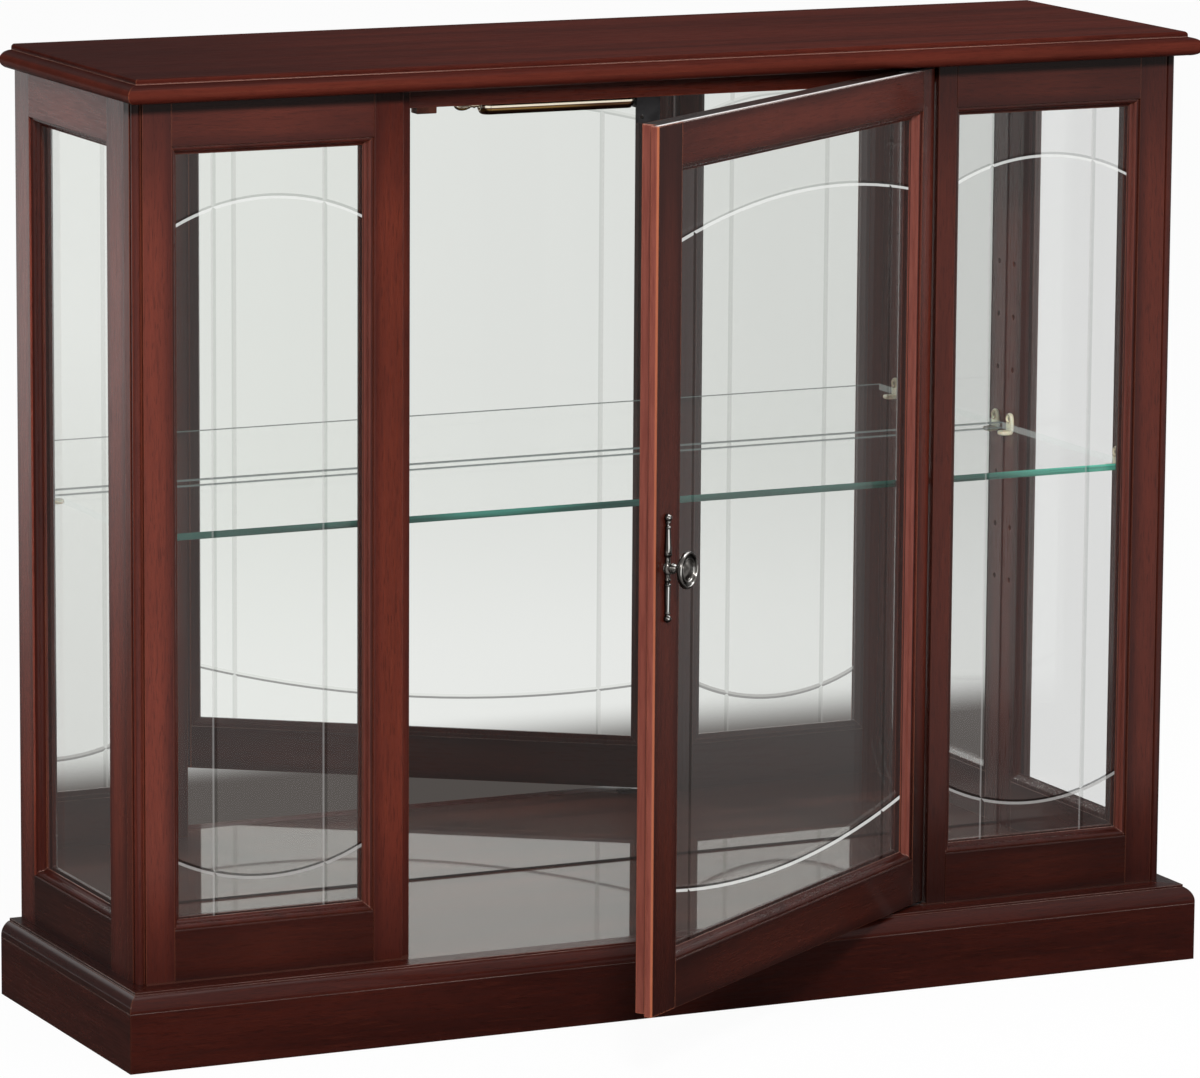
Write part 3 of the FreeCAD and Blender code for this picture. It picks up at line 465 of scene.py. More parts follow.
def ground_pane(name, turn=0.0, dim_below=True):
    """Clear glass with ground lines, told by the steep faces of their grooves.

    The side of a groove that looks up or right glows with a painted highlight and the other is
    a darker tint of painted shade, the arcs more than the upright lines. Below the middle the
    painted highlight may be dimmer.
    """
    f = Finish(name)
    sheet = clear_sheet(f, (0.985, 0.990, 0.986))
    side, depth, rise = f.split(f.turned(f.normal(), turn))
    groove = (depth.absolute() < 0.93) * (depth.absolute() > 0.4)
    on_arc = rise.absolute() > 0.12
    high = f.split(f.place())[2] > PANE_MIDDLE
    highlight_speckle = f.noise(f.place(), 700.0, 1.0)
    # Painted highlights glow on one side of each groove. The darker tints are painted shade.
    bright = lit(f, (0.86, 0.87, 0.85))
    if dim_below:
        bright = f.either(high, lit(f, (0.40, 0.39, 0.38)), bright)
    pale_upright = f.either(0.60 + 0.20 * highlight_speckle, lit(f, (0.48, 0.47, 0.46)), sheet)
    pale_arc = f.either(0.24 + 0.20 * highlight_speckle, bright, sheet)
    dark_upright = tinted(f, (0.80, 0.81, 0.80))
    dark_arc = f.either(high, tinted(f, (0.36, 0.36, 0.36)), tinted(f, (0.72, 0.73, 0.72)))
    line = f.either((side * 0.8 + rise) > 0, f.either(on_arc, dark_upright, dark_arc),
                    f.either(on_arc, pale_upright, pale_arc))
    return f.done(f.either(groove, sheet, line))


dress(ground_pane("engraved pane"), "left_front_pane", "right_front_pane")
dress(plain_pane("plain pane", (0.985, 0.990, 0.986)), "left_side_pane")
dress(plain_pane("greyer pane", (0.890, 0.893, 0.893)), "right_side_pane")

# Mirror: silvered glass over the whole back, very slightly green-grey, with a dark line along
# its foot, where it stands on the floor panel. A thin fibreboard behind it is screwed to the
# case.
MIRROR_FOOT = 0.0688


def silvering():
    """Painted duller to the right and brighter near the floor, with a faint brown painted glow.
    """
    f = Finish("silvering")
    cloud = f.noise(f.place(), 1.7, 2.0)
    x, _, z = f.split(f.place())
    # Painted light in the reflection: duller toward the right, brighter near the floor.
    tint = f.blend(cloud * 0.3 + 0.7 * x.over(-0.55, 0.55), (0.84, 0.86, 0.83),
                   (0.72, 0.735, 0.72))
    tint = f.blend((1 - z.over(0.25, 0.44)) * 0.45, tint, (0.97, 0.975, 0.965))
    tint = f.blend((z < MIRROR_FOOT) * 0.96, tint, (0.02, 0.02, 0.02))
    bright = f.surface(Base_Color=tint, Metallic=1.0, Roughness=0.003)
    # A faint brown glow of painted light over the reflection.
    return f.done(f.either(0.035, bright, lit(f, (0.50, 0.44, 0.42))))


def fibreboard():
    """Pressed fibres: fine specks of two browns with a faint sheen."""
    f = Finish("fibreboard")
    coarse = f.noise(f.place(), 150.0, 4.0, 0.7)
    fine = f.noise(f.place(), 420.0, 2.0)
    body = f.blend(coarse.over(0.35, 0.65), (0.115, 0.062, 0.036), (0.165, 0.098, 0.060))
    body = f.blend(fine.over(0.45, 0.7) * 0.5, body, (0.070, 0.036, 0.022))
    return f.done(f.surface(Base_Color=body, Roughness=0.5 + 0.25 * fine,
                            Normal=f.bump(fine + coarse, 0.15, 0.0004)))


def metal(name, colour, rough, patina, patina_rough):
    """A metal with a second, duller tone in cloudy patches and in fine scratches."""
    f = Finish(name)
    share = f.noise(f.place(), 60.0, 3.0, 0.6).over(0.4, 0.7)
    scratch = f.noise(f.stretched(f.place(), (900, 900, 60)), 1.0, 2.0)
    return f.done(f.surface(Base_Color=f.blend(share, colour, patina), Metallic=1.0,
                            Roughness=rough + (patina_rough - rough) * share + 0.08 * scratch,
                            Normal=f.bump(scratch, 0.06, 0.0002)))


dress(silvering(), "mirror")
dress(fibreboard(), "back_panel")
steel = metal("plain steel", (0.50, 0.50, 0.49), 0.28, (0.30, 0.29, 0.28), 0.45)
dress(steel, "back_screws")

# Top board: one wide panel with a moulded edge, brushed flatter than the frames. Its left
# part is darker, and the round nose of its edge has a redder painted highlight over the
# painted shade of the hollow beneath it.
NOSE_LOW, NOSE_HIGH, NOSE_SOFT = 0.812, 0.820, 0.002
HOLLOW_LOW, HOLLOW_HIGH = 0.807, 0.811
NOSE_PAINTED_HIGHLIGHT = (0.160, 0.036, 0.022)


def top_wood():
    """Darker to the left, most of all on the upper face, with a painted highlight on the nose.
    """
    board = Board("top_board", "X", 0.50)
    deep = board.shade(DEEP_STAIN)
    left = (1 - board.at[0].over(-0.50, -0.05)) * (0.12 + 0.60 * (board.upward > 0.7))
    body = board.blend(left, board.pored(board.stained()), deep)
    height = board.at[2]
    # Painted highlight on the round of the nose, painted shade over the hollow beneath it.
    nose = height.between(NOSE_LOW, NOSE_HIGH, NOSE_SOFT)
    body = board.blend(nose * 0.20, body, NOSE_PAINTED_HIGHLIGHT)
    body = board.blend((1 - height.over(HOLLOW_LOW, HOLLOW_HIGH)) * 0.7, body, deep)
    return board.lacquered(body, 0.08, rough=0.36, worn=0.9, sheen=0.005,
                           arris_radius=0.0018)


dress(top_wood(), "top_board")

# Shelf: a sheet of 6 mm plate glass with polished edges. They look green, because there the
# eye looks along the sheet.
SHELF_Z, SHELF_TOP = 0.437, 0.443


def plate_glass():
    """Clear on the broad faces. The normal tells the edges apart.

    The front edge is deep green with a faint glow and painted highlights, palest at the right
    and toward its top, and the ends are mostly clear with a pale glow. Of the rear edge, and of
    the front edge seen from behind, only the arrises show as thin lines of painted reflection.
    """
    f = Finish("plate glass")
    sheet = clear_sheet(f, (0.997, 0.999, 0.998), 0.10, 0.006)
    _, depth, rise = f.split(f.normal())
    x, y, z = f.split(f.place())
    shimmer = f.noise(f.stretched(f.place(), (9, 9, 300)), 1.0, 3.0, 0.6)
    # Painted highlights along the front edge: a faint patch left of the middle, brightest at
    # the right.
    along = x.over(-0.23, -0.17) * (1 - x.over(-0.12, -0.05)) * 0.20 + x.over(0.30, 0.44)
    deep = f.blend(along, (0.002, 0.018, 0.013), (0.003, 0.060, 0.042))
    pale = f.blend(along, (0.016, 0.070, 0.056), (0.080, 0.420, 0.310))
    green = f.blend(z.over(SHELF_Z, SHELF_TOP) * 0.5 + shimmer.over(0.35, 0.65) * 0.5, deep,
                    pale)
    # The front edge glows faintly with its own colour.
    front = f.surface(Base_Color=green, Roughness=0.08, Emission_Color=green,
                      Emission_Strength=0.15)
    # The ends: mostly clear glass with a pale painted glow.
    end = f.either(0.75, lit(f, (0.74, 0.82, 0.79)), sheet)
    rear = y > 0.0
    # Thin lines of painted reflection along the arrises.
    arris = (z > SHELF_TOP - 0.0012) + (z < SHELF_Z + 0.0010) * rear
    line = f.either(arris * 0.8, sheet, lit(f, (0.13, 0.155, 0.15)))
    far = rear.larger(depth > 0.5) * (depth.absolute() > 0.5)
    edge = f.either(far, f.either(depth < -0.5, end, front), line)
    return f.done(f.either(rise.absolute() < 0.4, sheet, edge))


dress(plate_glass(), "glass_shelf")

# Shelf clips: pale moulded plastic. Each has an upright rounded plate with a raised ring, a
# pin in the case's side behind it, and a tongue that carries the shelf.
CLIP_PLATE_OUT = 0.469
CLIP_LOW, CLIP_HIGH = SHELF_Z - 0.004, 0.4528
CLIP_REAR, CLIP_FRONT = 0.1305, -0.0675
CLIP_HALF_WIDTH, TONGUE_HALF_LENGTH = 0.0058, 0.0065
RING_Z, PIN_Z = 0.4476, 0.4436


def ivory_plastic():
    """Ivory, darker on the ring round each pin, with painted shade in the hollow inside it."""
    f = Finish("ivory plastic")
    cloud = f.noise(f.place(), 120.0, 2.0)
    tint = f.blend(cloud, (0.66, 0.60, 0.42), (0.80, 0.75, 0.58))
    _, y, z = f.split(f.place())
    for spot in (CLIP_FRONT, CLIP_REAR):
        across, rise = y - spot, z - RING_Z
        away = (across * across + rise * rise).power(0.5)
        ring = away.over(0.0030, 0.0034) * (1 - away.over(0.0040, 0.0046))
        hollow = 1 - away.over(0.0014, 0.0022)
        # Darker on the ring, and painted shade in the hollow round the pin.
        tint = f.blend(ring * 0.75, tint, (0.16, 0.12, 0.06))
        tint = f.blend(hollow * 0.85, tint, (0.09, 0.06, 0.03))
    return f.done(f.surface(Base_Color=tint, Roughness=0.25 + 0.1 * cloud,
                            Subsurface_Weight=0.2, Subsurface_Scale=0.002))


def piece(name, points, faces, material, body, slot, *nodes):
    """One smooth object of new mesh that stands for CAD nodes and rides on a body."""
    mesh = bpy.data.meshes.new(name)
    mesh.from_pydata(points.tolist(), [], faces)
    mesh.polygons.foreach_set("use_smooth", [True] * len(mesh.polygons))
    mesh.materials.append(material)
    thing = bpy.data.objects.new(name, mesh)
    bpy.context.scene.collection.objects.link(thing)
    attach(thing, body)
    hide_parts(*nodes)
    return thing


def turned_solid(along, radius, sides=40):
    """Surface of revolution about Z.

    Point j of ring i is at the angle 2 pi j / sides, at the radius radius[i] and the height
    along[i]. Both ends close to one point on the axis.
    """
    angle = 2 * np.pi * np.arange(sides) / sides
    ring_x = radius[:, None] * np.cos(angle)
    ring_y = radius[:, None] * np.sin(angle)
    ring_z = along[:, None] + 0 * angle
    rings = np.stack([ring_x, ring_y, ring_z], -1).reshape(-1, 3)
    points = np.vstack([rings, (0, 0, along[0]), (0, 0, along[-1])])
    start = np.arange(len(along) - 1)[:, None] * sides
    j = np.arange(sides)
    k = (j + 1) % sides
    quads = np.stack([start + j, start + k, start + sides + k, start + sides + j], -1)
    last = (len(along) - 1) * sides
    low_end = np.stack([k, j, j * 0 + len(rings)], -1)
    high_end = np.stack([last + j, last + k, j * 0 + len(rings) + 1], -1)
    return points, quads.reshape(-1, 4).tolist() + low_end.tolist() + high_end.tolist()


def pointing(solid, axis, start):
    """A solid of revolution, laid along another axis from a start point."""
    points, faces = solid
    way = np.array(axis, float)
    side = np.array((0.0, 0.0, 1.0)) if abs(way[2]) < 0.5 else np.array((1.0, 0.0, 0.0))
    other = np.cross(way, side)
    return points @ np.stack([side, other, way]) + np.array(start), faces


def joined(*solids):
    """Several closed meshes as one."""
    points, faces, count = [], [], 0
    for some, their in solids:
        points.append(some)
        faces += [[i + count for i in face] for face in their]
        count += len(some)
    return np.vstack(points), faces


def slab(half_length, half_width, thickness, power):
    """A flat rounded plate about Z.

    Its outline is a superellipse, its rim a half round: the layer at the height share t is
    drawn in by the rim's radius times 1 minus the root of 1 minus (2t - 1) squared.
    """
    sides = 48
    rim = min(0.0011, thickness / 2)
    turn = np.linspace(0, np.pi, 9)
    inward = rim * (1 - np.sin(turn))
    height = thickness / 2 - (thickness / 2) * np.cos(turn)
    angle = 2 * np.pi * np.arange(sides) / sides
    c, s = np.cos(angle), np.sin(angle)
    shape_x = np.sign(c) * np.abs(c) ** (2 / power)
    shape_y = np.sign(s) * np.abs(s) ** (2 / power)
    points, faces = turned_solid(height, np.ones(len(height)), sides)
    layer = np.repeat(np.arange(len(height)), sides)
    points[:-2, 0] = (half_length - inward[layer]) * np.tile(shape_x, len(height))
    points[:-2, 1] = (half_width - inward[layer]) * np.tile(shape_y, len(height))
    return points, faces


def clip(side, y):
    """The closed meshes of one clip: plate, ring, tongue and pin.

    The ring is a half round swept about the pin's axis. The pin's radius falls near its end
    as the root of 1 minus the sixth power of the way along it.
    """
    wall = side * CLIP_PLATE_OUT
    plate = pointing(slab((CLIP_HIGH - CLIP_LOW) / 2, CLIP_HALF_WIDTH, 0.003, 2.6),
                     (-side, 0, 0), (wall, y, (CLIP_HIGH + CLIP_LOW) / 2))
    bow = np.linspace(np.pi, 0, 12)
    ring = pointing(turned_solid(0.0026 + 0.0016 * np.sin(bow), 0.0036 - 0.0011 * np.cos(bow)),
                    (-side, 0, 0), (wall, y, RING_Z))
    tongue, faces = slab(TONGUE_HALF_LENGTH, CLIP_HALF_WIDTH, 0.0036, 3.2)
    tongue = tongue + np.array((wall - side * TONGUE_HALF_LENGTH, y, CLIP_LOW + 0.0002))
    pin_radius = 0.0023 * np.sqrt(1 - np.linspace(0, 0.9, 12) ** 6)
    pin = pointing(turned_solid(np.linspace(0, 0.0085, 12), pin_radius), (side, 0, 0),
                   (wall - side * 0.001, y, PIN_Z))
    return plate, ring, (tongue, faces), pin


solids = [solid for side in (-1, 1) for y in (CLIP_FRONT, CLIP_REAR) for solid in clip(side, y)]
clip_points, clip_faces = joined(*solids)
piece("moulded_clips", clip_points, clip_faces, ivory_plastic(), "body", "clip_plastic",
      "shelf_clips")

# Lamp under the top: a half tube of dark polished brass with rounded ends over a frosted
# tube, on a black bracket at its right, with a small ribbed switch at its left.
LAMP_Y, LAMP_Z = -0.069, 0.785
LAMP_LEFT, LAMP_RIGHT = -0.157, -0.012


def lamp_brass():
    """Dark bronzed brass, with a bright and a golden painted highlight along its upper front.
    """
    f = Finish("lamp brass")
    cloud = f.noise(f.stretched(f.place(), (4, 60, 60)), 1.0, 3.0, 0.6)
    _, depth, rise = f.split(f.normal())
    body = f.blend(cloud.over(0.35, 0.65), (0.060, 0.024, 0.016), (0.115, 0.055, 0.028))
    front = depth < 0
    # Painted highlights: a golden line and a bright line along the upper front.
    painted_gold_line = rise.between(-0.42, -0.26, 0.04) * front
    body = f.blend(painted_gold_line * cloud.over(0.30, 0.55), body, (0.26, 0.155, 0.05))
    shine = rise.between(-0.17, -0.01, 0.03) * front
    body = f.blend(shine, body, (0.95, 0.86, 0.70))
    return f.done(f.surface(Base_Color=body, Metallic=1.0, Roughness=0.14 + 0.12 * cloud,
                            Normal=f.bump(cloud, 0.04, 0.0004)))


def lamp_glass():
    """Frosted lamp glass: white with a faint grey cloud."""
    f = Finish("lamp glass")
    cloud = f.noise(f.place(), 30.0, 2.0)
    tint = f.blend(cloud, (0.80, 0.79, 0.75), (0.88, 0.87, 0.84))
    return f.done(f.surface(Base_Color=tint, Roughness=0.2))


def canopy(brass):
    """Half tube along X, open below.

    Row i is at the height share i of the length. Its radius is the full one, times a
    quarter circle near each end. Point j runs over the arc that stays above the rim.
    """
    radius, rim, end, rows, columns = 0.0105, 0.0078, 0.009, 80, 60
    x = LAMP_LEFT + (LAMP_RIGHT - LAMP_LEFT) * (1 - np.cos(np.linspace(0, np.pi, rows))) / 2
    near = np.minimum(x - LAMP_LEFT, LAMP_RIGHT - x)
    row_radius = radius * np.sqrt(np.clip(1 - np.clip(1 - near / end, 0, 1) ** 2, 0.0001, 1))
    low = np.arcsin(np.clip(rim / row_radius, 0, 0.999))
    angle = -low[:, None] + (np.pi + 2 * low[:, None]) * np.linspace(0, 1, columns)
    y = LAMP_Y + row_radius[:, None] * np.cos(angle)
    z = LAMP_Z + row_radius[:, None] * np.sin(angle)
    points = np.stack([x[:, None] + 0 * y, y, z], -1).reshape(-1, 3)
    i = (np.arange(rows - 1) * columns)[:, None] + np.arange(columns - 1)
    quads = np.stack([i, i + 1, i + columns + 1, i + columns], -1).reshape(-1, 4)
    shade = piece("lamp_shade", points, quads.tolist(), brass, "body", "lamp_brass",
                  "lamp_canopy")
    wall = shade.modifiers.new("wall", "SOLIDIFY")
    wall.thickness = 0.0009
    wall.offset = -1


def beaded(along, stops, sizes, beads):
    """Radius along a turned part: straight tapers between stops, each bead a half ellipse."""
    radius = np.interp(along, stops, sizes)
    for middle, reach, top in beads:
        share = np.clip(1 - ((along - middle) / reach) ** 2, 0, 1)
        radius = np.maximum(radius, top * np.sqrt(share))
    return radius


def switch(brass):
    """A stem out of the canopy's end, a neck and a knob.

    The knob has 16 shallow ribs: there the radius is scaled by 1 plus 0.035 times the cosine
    of 16 times the angle.
    """
    out = np.linspace(0, 0.0219, 160)
    radius = beaded(out, (0, 0.007, 0.0085, 0.0219), (0.0019, 0.0019, 0.0030, 0.0010),
                    ((0.0035, 0.0016, 0.0026), (0.0145, 0.0074, 0.0041)))
    points, faces = turned_solid(out, radius, 96)
    ribs = 1 + 0.035 * np.cos(16 * np.arctan2(points[:, 1], points[:, 0]))
    ribbed = (points[:, 2] > 0.0095) & (points[:, 2] < 0.0195)
    points[:, :2] *= np.where(ribbed, ribs, 1)[:, None]
    points, faces = pointing((points, faces), (-1, 0, 0), (LAMP_LEFT, LAMP_Y, LAMP_Z))
    piece("lamp_knob", points, faces, brass, "switch", "lamp_brass", "lamp_switch")


brass = lamp_brass()
canopy(brass)
switch(brass)
dress(lamp_glass(), "lamp_tube")
dark_steel = metal("blackened steel", (0.045, 0.043, 0.045), 0.38, (0.025, 0.024, 0.025), 0.5)
dress(dark_steel, "lamp_bracket")

# Door: a frame of the same stock as the case round a wide ground pane, turned open on its
# pivot hinges. Its free edge is worn and paler with painted light, with a painted highlight
# along its rounded arris, and its top face has a painted highlight at the front and painted
# shade behind.
DOOR_TURN = math.radians(35.5)
LEFT_ARRIS_HIGHLIGHT = (0.38, 0.115, 0.050)
TOP_FRONT_HIGHLIGHT = (1.0, 0.98, 0.97)
TOP_REAR_SHADE = (0.006, 0.003, 0.002)


def painted_light_left(board, body):
    """The free edge: painted light on its face and a painted highlight on the rounding beside
    it.
    """
    body = paler_left(board, body, 0.9)
    # Painted highlight on the rounding between the free edge and the front.
    look = board.facing[0]
    rounding = (look < -0.35) * (look > -0.93)
    return board.blend(rounding * (0.8 * (0.4 + 0.6 * board.cloud)), body, LEFT_ARRIS_HIGHLIGHT)


def lit_top(board, body):
    """The top face: a painted highlight on its first 3 mm and painted shade on the rest."""
    # Painted highlight at the front of the top face, painted shade behind it.
    top = (board.upward > 0.7) * (board.at[2] > float(board.high[2]) - 0.004)
    front = float(board.low[1])
    rear = board.at[1].over(front + 0.0030, front + 0.0045)
    return board.blend(top * 0.95, body, board.blend(rear, TOP_FRONT_HIGHLIGHT, TOP_REAR_SHADE))


# The door's tones, too, hold painted light and shade besides the stain.
framing("Z", 0.36, "door_free_stile", turn=DOOR_TURN, changes=(painted_light_left, lit_top),
        coat=0.15, worn=1.0, rubbed=1.3, arris_radius=0.0022)
framing("Z", 0.56, "door_hinge_stile", turn=DOOR_TURN, changes=(lit_top,), foot_dark=0.8,
        coat=0.6, worn=0.8)
framing("X", 0.50, "door_top_rail", turn=DOOR_TURN, changes=(lit_top,), coat=0.2, worn=0.6,
        lit=1.0, arris_radius=0.0022)
framing("X", 0.27, "door_bottom_rail", turn=DOOR_TURN, worn=0.6)
moulding("door_moulding", 0.30, 0.7, DOOR_TURN)
beads = Board("door_glazing_beads", "Z", 0.25, DOOR_TURN)
dress(beads.lacquered(beads.pored(beads.stained()), 0.35), "door_glazing_beads")
dress(ground_pane("engraved door pane", DOOR_TURN, dim_below=False), "door_pane")

# Hinge leaves, catch and strike plate: small steel fittings, screwed into the top and bottom
# edges of the door and under the header rail.
brown_steel = metal("browned steel", (0.110, 0.040, 0.028), 0.35, (0.050, 0.020, 0.015), 0.5)
dress(dark_steel, "hinge_body_leaves", "hinge_door_leaves")
dress(brown_steel, "magnetic_catch")
dress(steel, "strike_plate")

# Handle: a half-round turned rod with beads and a slender waist that lies on the stile, and
# a round knob with a raised rim and a shallow dish. It is pewter that has gone dark, with
# painted glints.
HINGE_X, HINGE_Y = 0.247, -0.1125
ROD_X, ROD_Y, ROD_Z = -0.227, -0.1210, 0.442
ROD_LOW, ROD_LENGTH = 0.397, 0.0897
DOOR_FACE = -0.1195
BOSS_LENGTH = 0.008
CLOSED_SHIFT = (HINGE_X - math.cos(DOOR_TURN) * HINGE_X - math.sin(DOOR_TURN) * HINGE_Y,
                HINGE_Y + math.sin(DOOR_TURN) * HINGE_X - math.cos(DOOR_TURN) * HINGE_Y, 0)
PAINTED_GLINTS = (((-0.62, -0.78, 0.10), 0.965, 0.99), ((-0.20, -0.55, 0.81), 0.93, 0.97),
          ((0.80, -0.55, 0.20), 0.955, 0.985))


def pewter_finish():
    """Grey metal, black in the ring groove of the knob and in cloudy patches.

    Each painted glint is a way to look and the least and the most cosine, between which a face
    that looks nearly that way is painted bright.
    """
    f = Finish("darkened pewter")
    closed = f.node("ShaderNodeMapping", Vector=f.place(), Rotation=(0, 0, -DOOR_TURN),
                    Location=CLOSED_SHIFT)
    x, _, z = f.split(closed)
    across, rise = x - ROD_X, z - ROD_Z
    away = (across * across + rise * rise).power(0.5)
    groove = away.between(0.0101, 0.0127, 0.0005)
    side = away.over(0.0148, 0.0154)
    cloud = f.noise(f.place(), 110.0, 3.0, 0.6)
    scratch = f.noise(f.stretched(f.place(), (900, 900, 60)), 1.0, 2.0)
    body = f.blend(cloud.over(0.40, 0.65), (0.150, 0.140, 0.130), (0.060, 0.055, 0.051))
    body = f.blend(groove * 0.85, body, (0.012, 0.011, 0.010))
    body = f.blend(side * 0.6, body, (0.020, 0.018, 0.017))
    facing = f.turned(f.normal(), DOOR_TURN)
    # Painted glints: near white where a face looks nearly one of these ways.
    for way, least, most in PAINTED_GLINTS:
        painted_glint = f.agreement(facing, way).over(least, most)
        body = f.blend(painted_glint * (1 - 0.9 * groove) * 0.9, body, (0.86, 0.84, 0.81))
    return f.done(f.surface(Base_Color=body, Metallic=1.0,
                            Roughness=0.15 + 0.10 * cloud + 0.05 * scratch,
                            Normal=f.bump(scratch, 0.05, 0.0002)))


def opened(points):
    """Points of the closed door, turned open about the hinge line."""
    c, s = math.cos(DOOR_TURN), math.sin(DOOR_TURN)
    x, y = points[:, 0] - HINGE_X, points[:, 1] - HINGE_Y
    return np.stack([HINGE_X + c * x - s * y, HINGE_Y + s * x + c * y, points[:, 2]], 1)


def handle(pewter):
    """The rod's radius is listed from its lower end up. Its back is cut flat on the door.

    The boss under the knob is turned about a line out of the door.
    """
    up = np.linspace(0, ROD_LENGTH, 300)
    stops = (0, 0.006, 0.009, 0.0305, 0.0335, 0.036, 0.0385, 0.051, 0.0535, 0.058, 0.066,
             0.0775, 0.079, 0.082, ROD_LENGTH)
    sizes = (0.0010, 0.0016, 0.0024, 0.0029, 0.0020, 0.0022, 0.0026, 0.0026, 0.0021, 0.0036,
             0.0030, 0.0023, 0.0016, 0.0015, 0.0009)
    beads = ((0.0032, 0.0032, 0.0037), (0.0078, 0.0014, 0.0028), (0.0312, 0.0014, 0.0036),
             (0.0350, 0.0020, 0.0030), (0.0445, 0.0066, 0.0040), (0.0560, 0.0022, 0.0038),
             (0.0785, 0.0014, 0.0031), (0.0825, 0.0014, 0.0026), (0.0865, 0.0031, 0.0037))
    rod = pointing(turned_solid(up, beaded(up, stops, sizes, beads)), (0, 0, 1),
                   (ROD_X, ROD_Y, ROD_LOW))
    rod[0][:, 1] = np.minimum(rod[0][:, 1], DOOR_FACE)
    out = np.linspace(0, BOSS_LENGTH, 50)
    collar = beaded(out, (0, 0.0006, 0.0014, 0.006, BOSS_LENGTH),
                    (0.0047, 0.0050, 0.0036, 0.0033, 0.0036), ((0.0068, 0.0011, 0.0046),))
    boss = pointing(turned_solid(out, collar), (0, -1, 0), (ROD_X, DOOR_FACE, ROD_Z))
    points, faces = joined(rod, boss)
    piece("turned_handle", opened(points), faces, pewter, "door", "aged_metal", "handle_rod")


def knob(pewter):
    """Turned about a line out of the door, and smoothed three times along its outline.

    The outline is the distance out of the boss and the radius, in millimetres.
    """
    outline = np.array((
        (0.0, 3.9), (0.5, 4.2), (1.2, 3.6), (2.0, 3.1), (3.0, 2.9), (3.8, 3.2), (4.3, 4.3),
        (4.9, 4.5), (5.4, 4.2), (5.9, 4.4), (6.6, 6.2), (7.6, 9.2), (8.7, 12.2), (9.7, 14.3),
        (10.8, 15.4), (12.0, 15.7), (13.2, 15.5), (14.1, 14.9), (14.5, 14.1), (14.4, 13.4),
        (13.6, 12.9), (12.5, 12.5), (12.0, 11.9), (12.0, 11.2), (12.7, 10.8), (13.5, 10.5),
        (13.8, 10.0), (13.6, 9.5), (12.8, 9.1), (12.5, 8.5), (12.9, 7.4), (13.7, 5.6),
        (14.3, 3.6), (14.6, 1.6), (14.7, 0.4)))
    step = np.linspace(0, len(outline) - 1, 4 * len(outline) - 3)
    rows = np.arange(len(outline))
    out = np.interp(step, rows, outline[:, 0]) / 1000
    radius = np.interp(step, rows, outline[:, 1]) / 1000
    for _ in range(3):
        out[1:-1] = (out[:-2] + 2 * out[1:-1] + out[2:]) / 4
        radius[1:-1] = (radius[:-2] + 2 * radius[1:-1] + radius[2:]) / 4
    points, faces = pointing(turned_solid(out, radius, 72), (0, -1, 0),
                             (ROD_X, DOOR_FACE - BOSS_LENGTH, ROD_Z))
    piece("round_knob", opened(points), faces, pewter, "door", "aged_metal", "knob")


pewter = pewter_finish()
handle(pewter)
knob(pewter)

# Studio: a wide pale floor, a plain room round it and three soft lamps. Shiny surfaces see
# the paper of the floor as a painted reflection: dim near the cabinet, a painted shade, and
# white farther in front.
FLOOR_HALF = 9.0
PAPER_PAINTED_SHADE = (0.075, 0.066, 0.062)
floor_mesh = bpy.data.meshes.new("studio floor")
floor_mesh.from_pydata([(-FLOOR_HALF, -FLOOR_HALF, 0), (FLOOR_HALF, -FLOOR_HALF, 0),
                        (FLOOR_HALF, FLOOR_HALF, 0), (-FLOOR_HALF, FLOOR_HALF, 0)], [],
                       [(0, 1, 2, 3)])
studio_floor = bpy.data.objects.new("studio_floor", floor_mesh)
bpy.context.scene.collection.objects.link(studio_floor)


def paper():
    """Lit paper, nearly plain white to the camera.

    Shiny surfaces see a painted reflection of it: white from 0.6 m in front of the cabinet on
    and far behind it, and dim with painted shade near it.
    """
    f = Finish("studio paper")
    path = f.node("ShaderNodeLightPath", output="Is Camera Ray")
    x, y, _ = f.split(f.place())
    # Where shiny surfaces see the paper painted white rather than in painted shade.
    in_front = (0 - y).over(0.58, 0.80)
    at_right = x.over(0.6, 1.6) * 0.30
    far_behind = y.over(0.6, 4.0) * 0.9
    white_share = in_front.larger(at_right).larger(far_behind)
    shiny = path.part("Is Glossy Ray").larger(path.part("Is Transmission Ray"))
    cloud = f.noise(f.place(), 5.0, 3.0)
    sheet = f.surface(Base_Color=f.blend(cloud, (0.86, 0.86, 0.86), (0.90, 0.90, 0.90)),
                      Roughness=0.9, Specular_IOR_Level=0.1)
    sheet = f.either(path * 0.95, sheet, lit(f, (1.0, 1.0, 1.0)))
    mirrored = lit(f, f.blend(white_share, PAPER_PAINTED_SHADE, (0.97, 0.97, 0.97)))
    return f.done(f.either(shiny * (1 - path), sheet, mirrored))


floor_mesh.materials.append(paper())


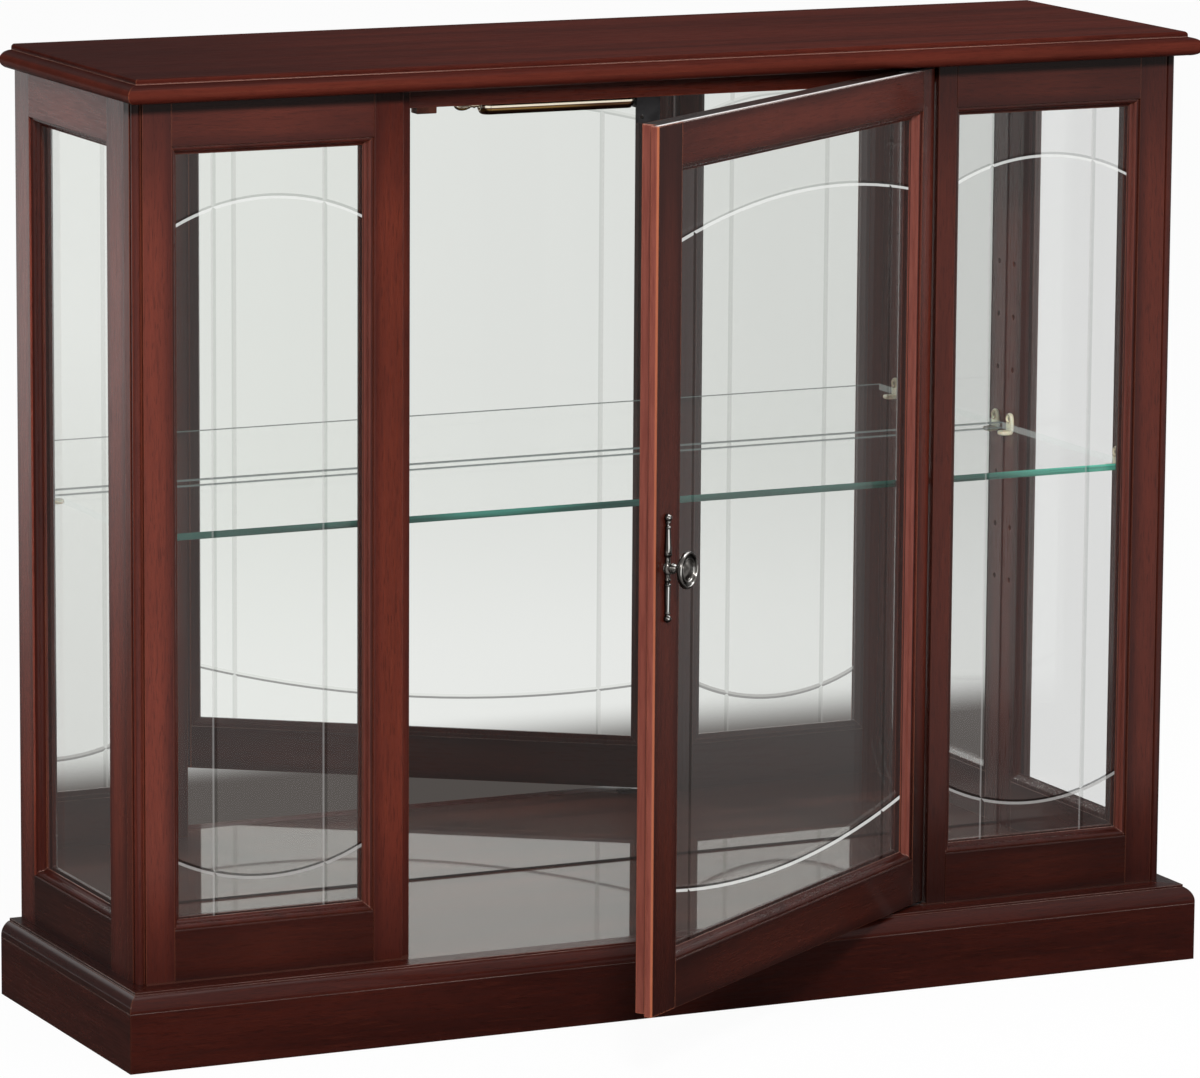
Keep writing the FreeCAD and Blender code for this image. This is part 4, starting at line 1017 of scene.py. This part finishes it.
def room(world):
    """White to the camera. Shiny surfaces see a dim rear wall, a bright front and ceiling."""
    f = Finish("studio room", world.node_tree)
    _, y, z = f.split(f.node("ShaderNodeTexCoord", output="Generated"))
    path = f.node("ShaderNodeLightPath", output="Is Camera Ray")
    seen = f.blend(y.over(-0.1, 0.35), (0.90, 0.905, 0.89), (0.10, 0.10, 0.10))
    seen = f.blend(z.over(0.30, 0.42), seen, (0.95, 0.95, 0.95))
    colour = f.blend(path.part("Is Glossy Ray"), (0.45, 0.45, 0.45), seen)
    colour = f.blend(path, colour, (1.0, 1.0, 1.0))
    f.done(f.node("ShaderNodeBackground", Color=colour, Strength=1.0),
           "ShaderNodeOutputWorld")


world = bpy.data.worlds.new("studio")
bpy.context.scene.world = world
world.use_nodes = True
room(world)


def lamp(name, place, aim, size, watts):
    """A soft square lamp that faces a point."""
    data = bpy.data.lights.new(name, "AREA")
    data.size = size
    data.energy = watts
    thing = bpy.data.objects.new(name, data)
    bpy.context.scene.collection.objects.link(thing)
    way = np.array(aim) - np.array(place)
    thing.location = place
    thing.rotation_euler = (math.atan2(math.hypot(way[0], way[1]), -way[2]), 0,
                            math.atan2(-way[0], way[1]))


lamp("key", (-1.6, -4.0, 2.7), (0, 0, 0.4), 0.6, 180)
lamp("fill", (3.6, -1.6, 2.6), (0, 0, 0.4), 1.6, 25)
lamp("top", (0.2, -0.4, 3.0), (0, 0, 0.8), 1.6, 18)

# Camera: a long lens from the front left, a little above the top board, turned and tilted
# toward the middle of the cabinet.
EYE = (-2.5907, -5.4567, 1.4817)
LENS_PIXELS, PHOTO_PIXELS = 7053.0, 1200
YAW, PITCH, ROLL = math.radians(25.33), math.radians(-10.237), math.radians(0.386)
forward = np.array([math.sin(YAW) * math.cos(PITCH), math.cos(YAW) * math.cos(PITCH),
                    math.sin(PITCH)])
level = np.array([math.cos(YAW), -math.sin(YAW), 0.0])
upright = np.cross(level, forward)
right = level * math.cos(ROLL) + upright * math.sin(ROLL)
up = upright * math.cos(ROLL) - level * math.sin(ROLL)
camera_data = bpy.data.cameras.new("camera")
camera_data.sensor_fit = "HORIZONTAL"
camera_data.sensor_width = 36.0
camera_data.lens = LENS_PIXELS / PHOTO_PIXELS * camera_data.sensor_width
camera = bpy.data.objects.new("camera", camera_data)
bpy.context.scene.collection.objects.link(camera)
pose = np.eye(4)
pose[:3, 0], pose[:3, 1], pose[:3, 2], pose[:3, 3] = right, up, -forward, EYE
camera.matrix_world = Matrix(pose.tolist())
bpy.context.scene.camera = camera

bpy.context.scene.view_settings.view_transform = "Standard"
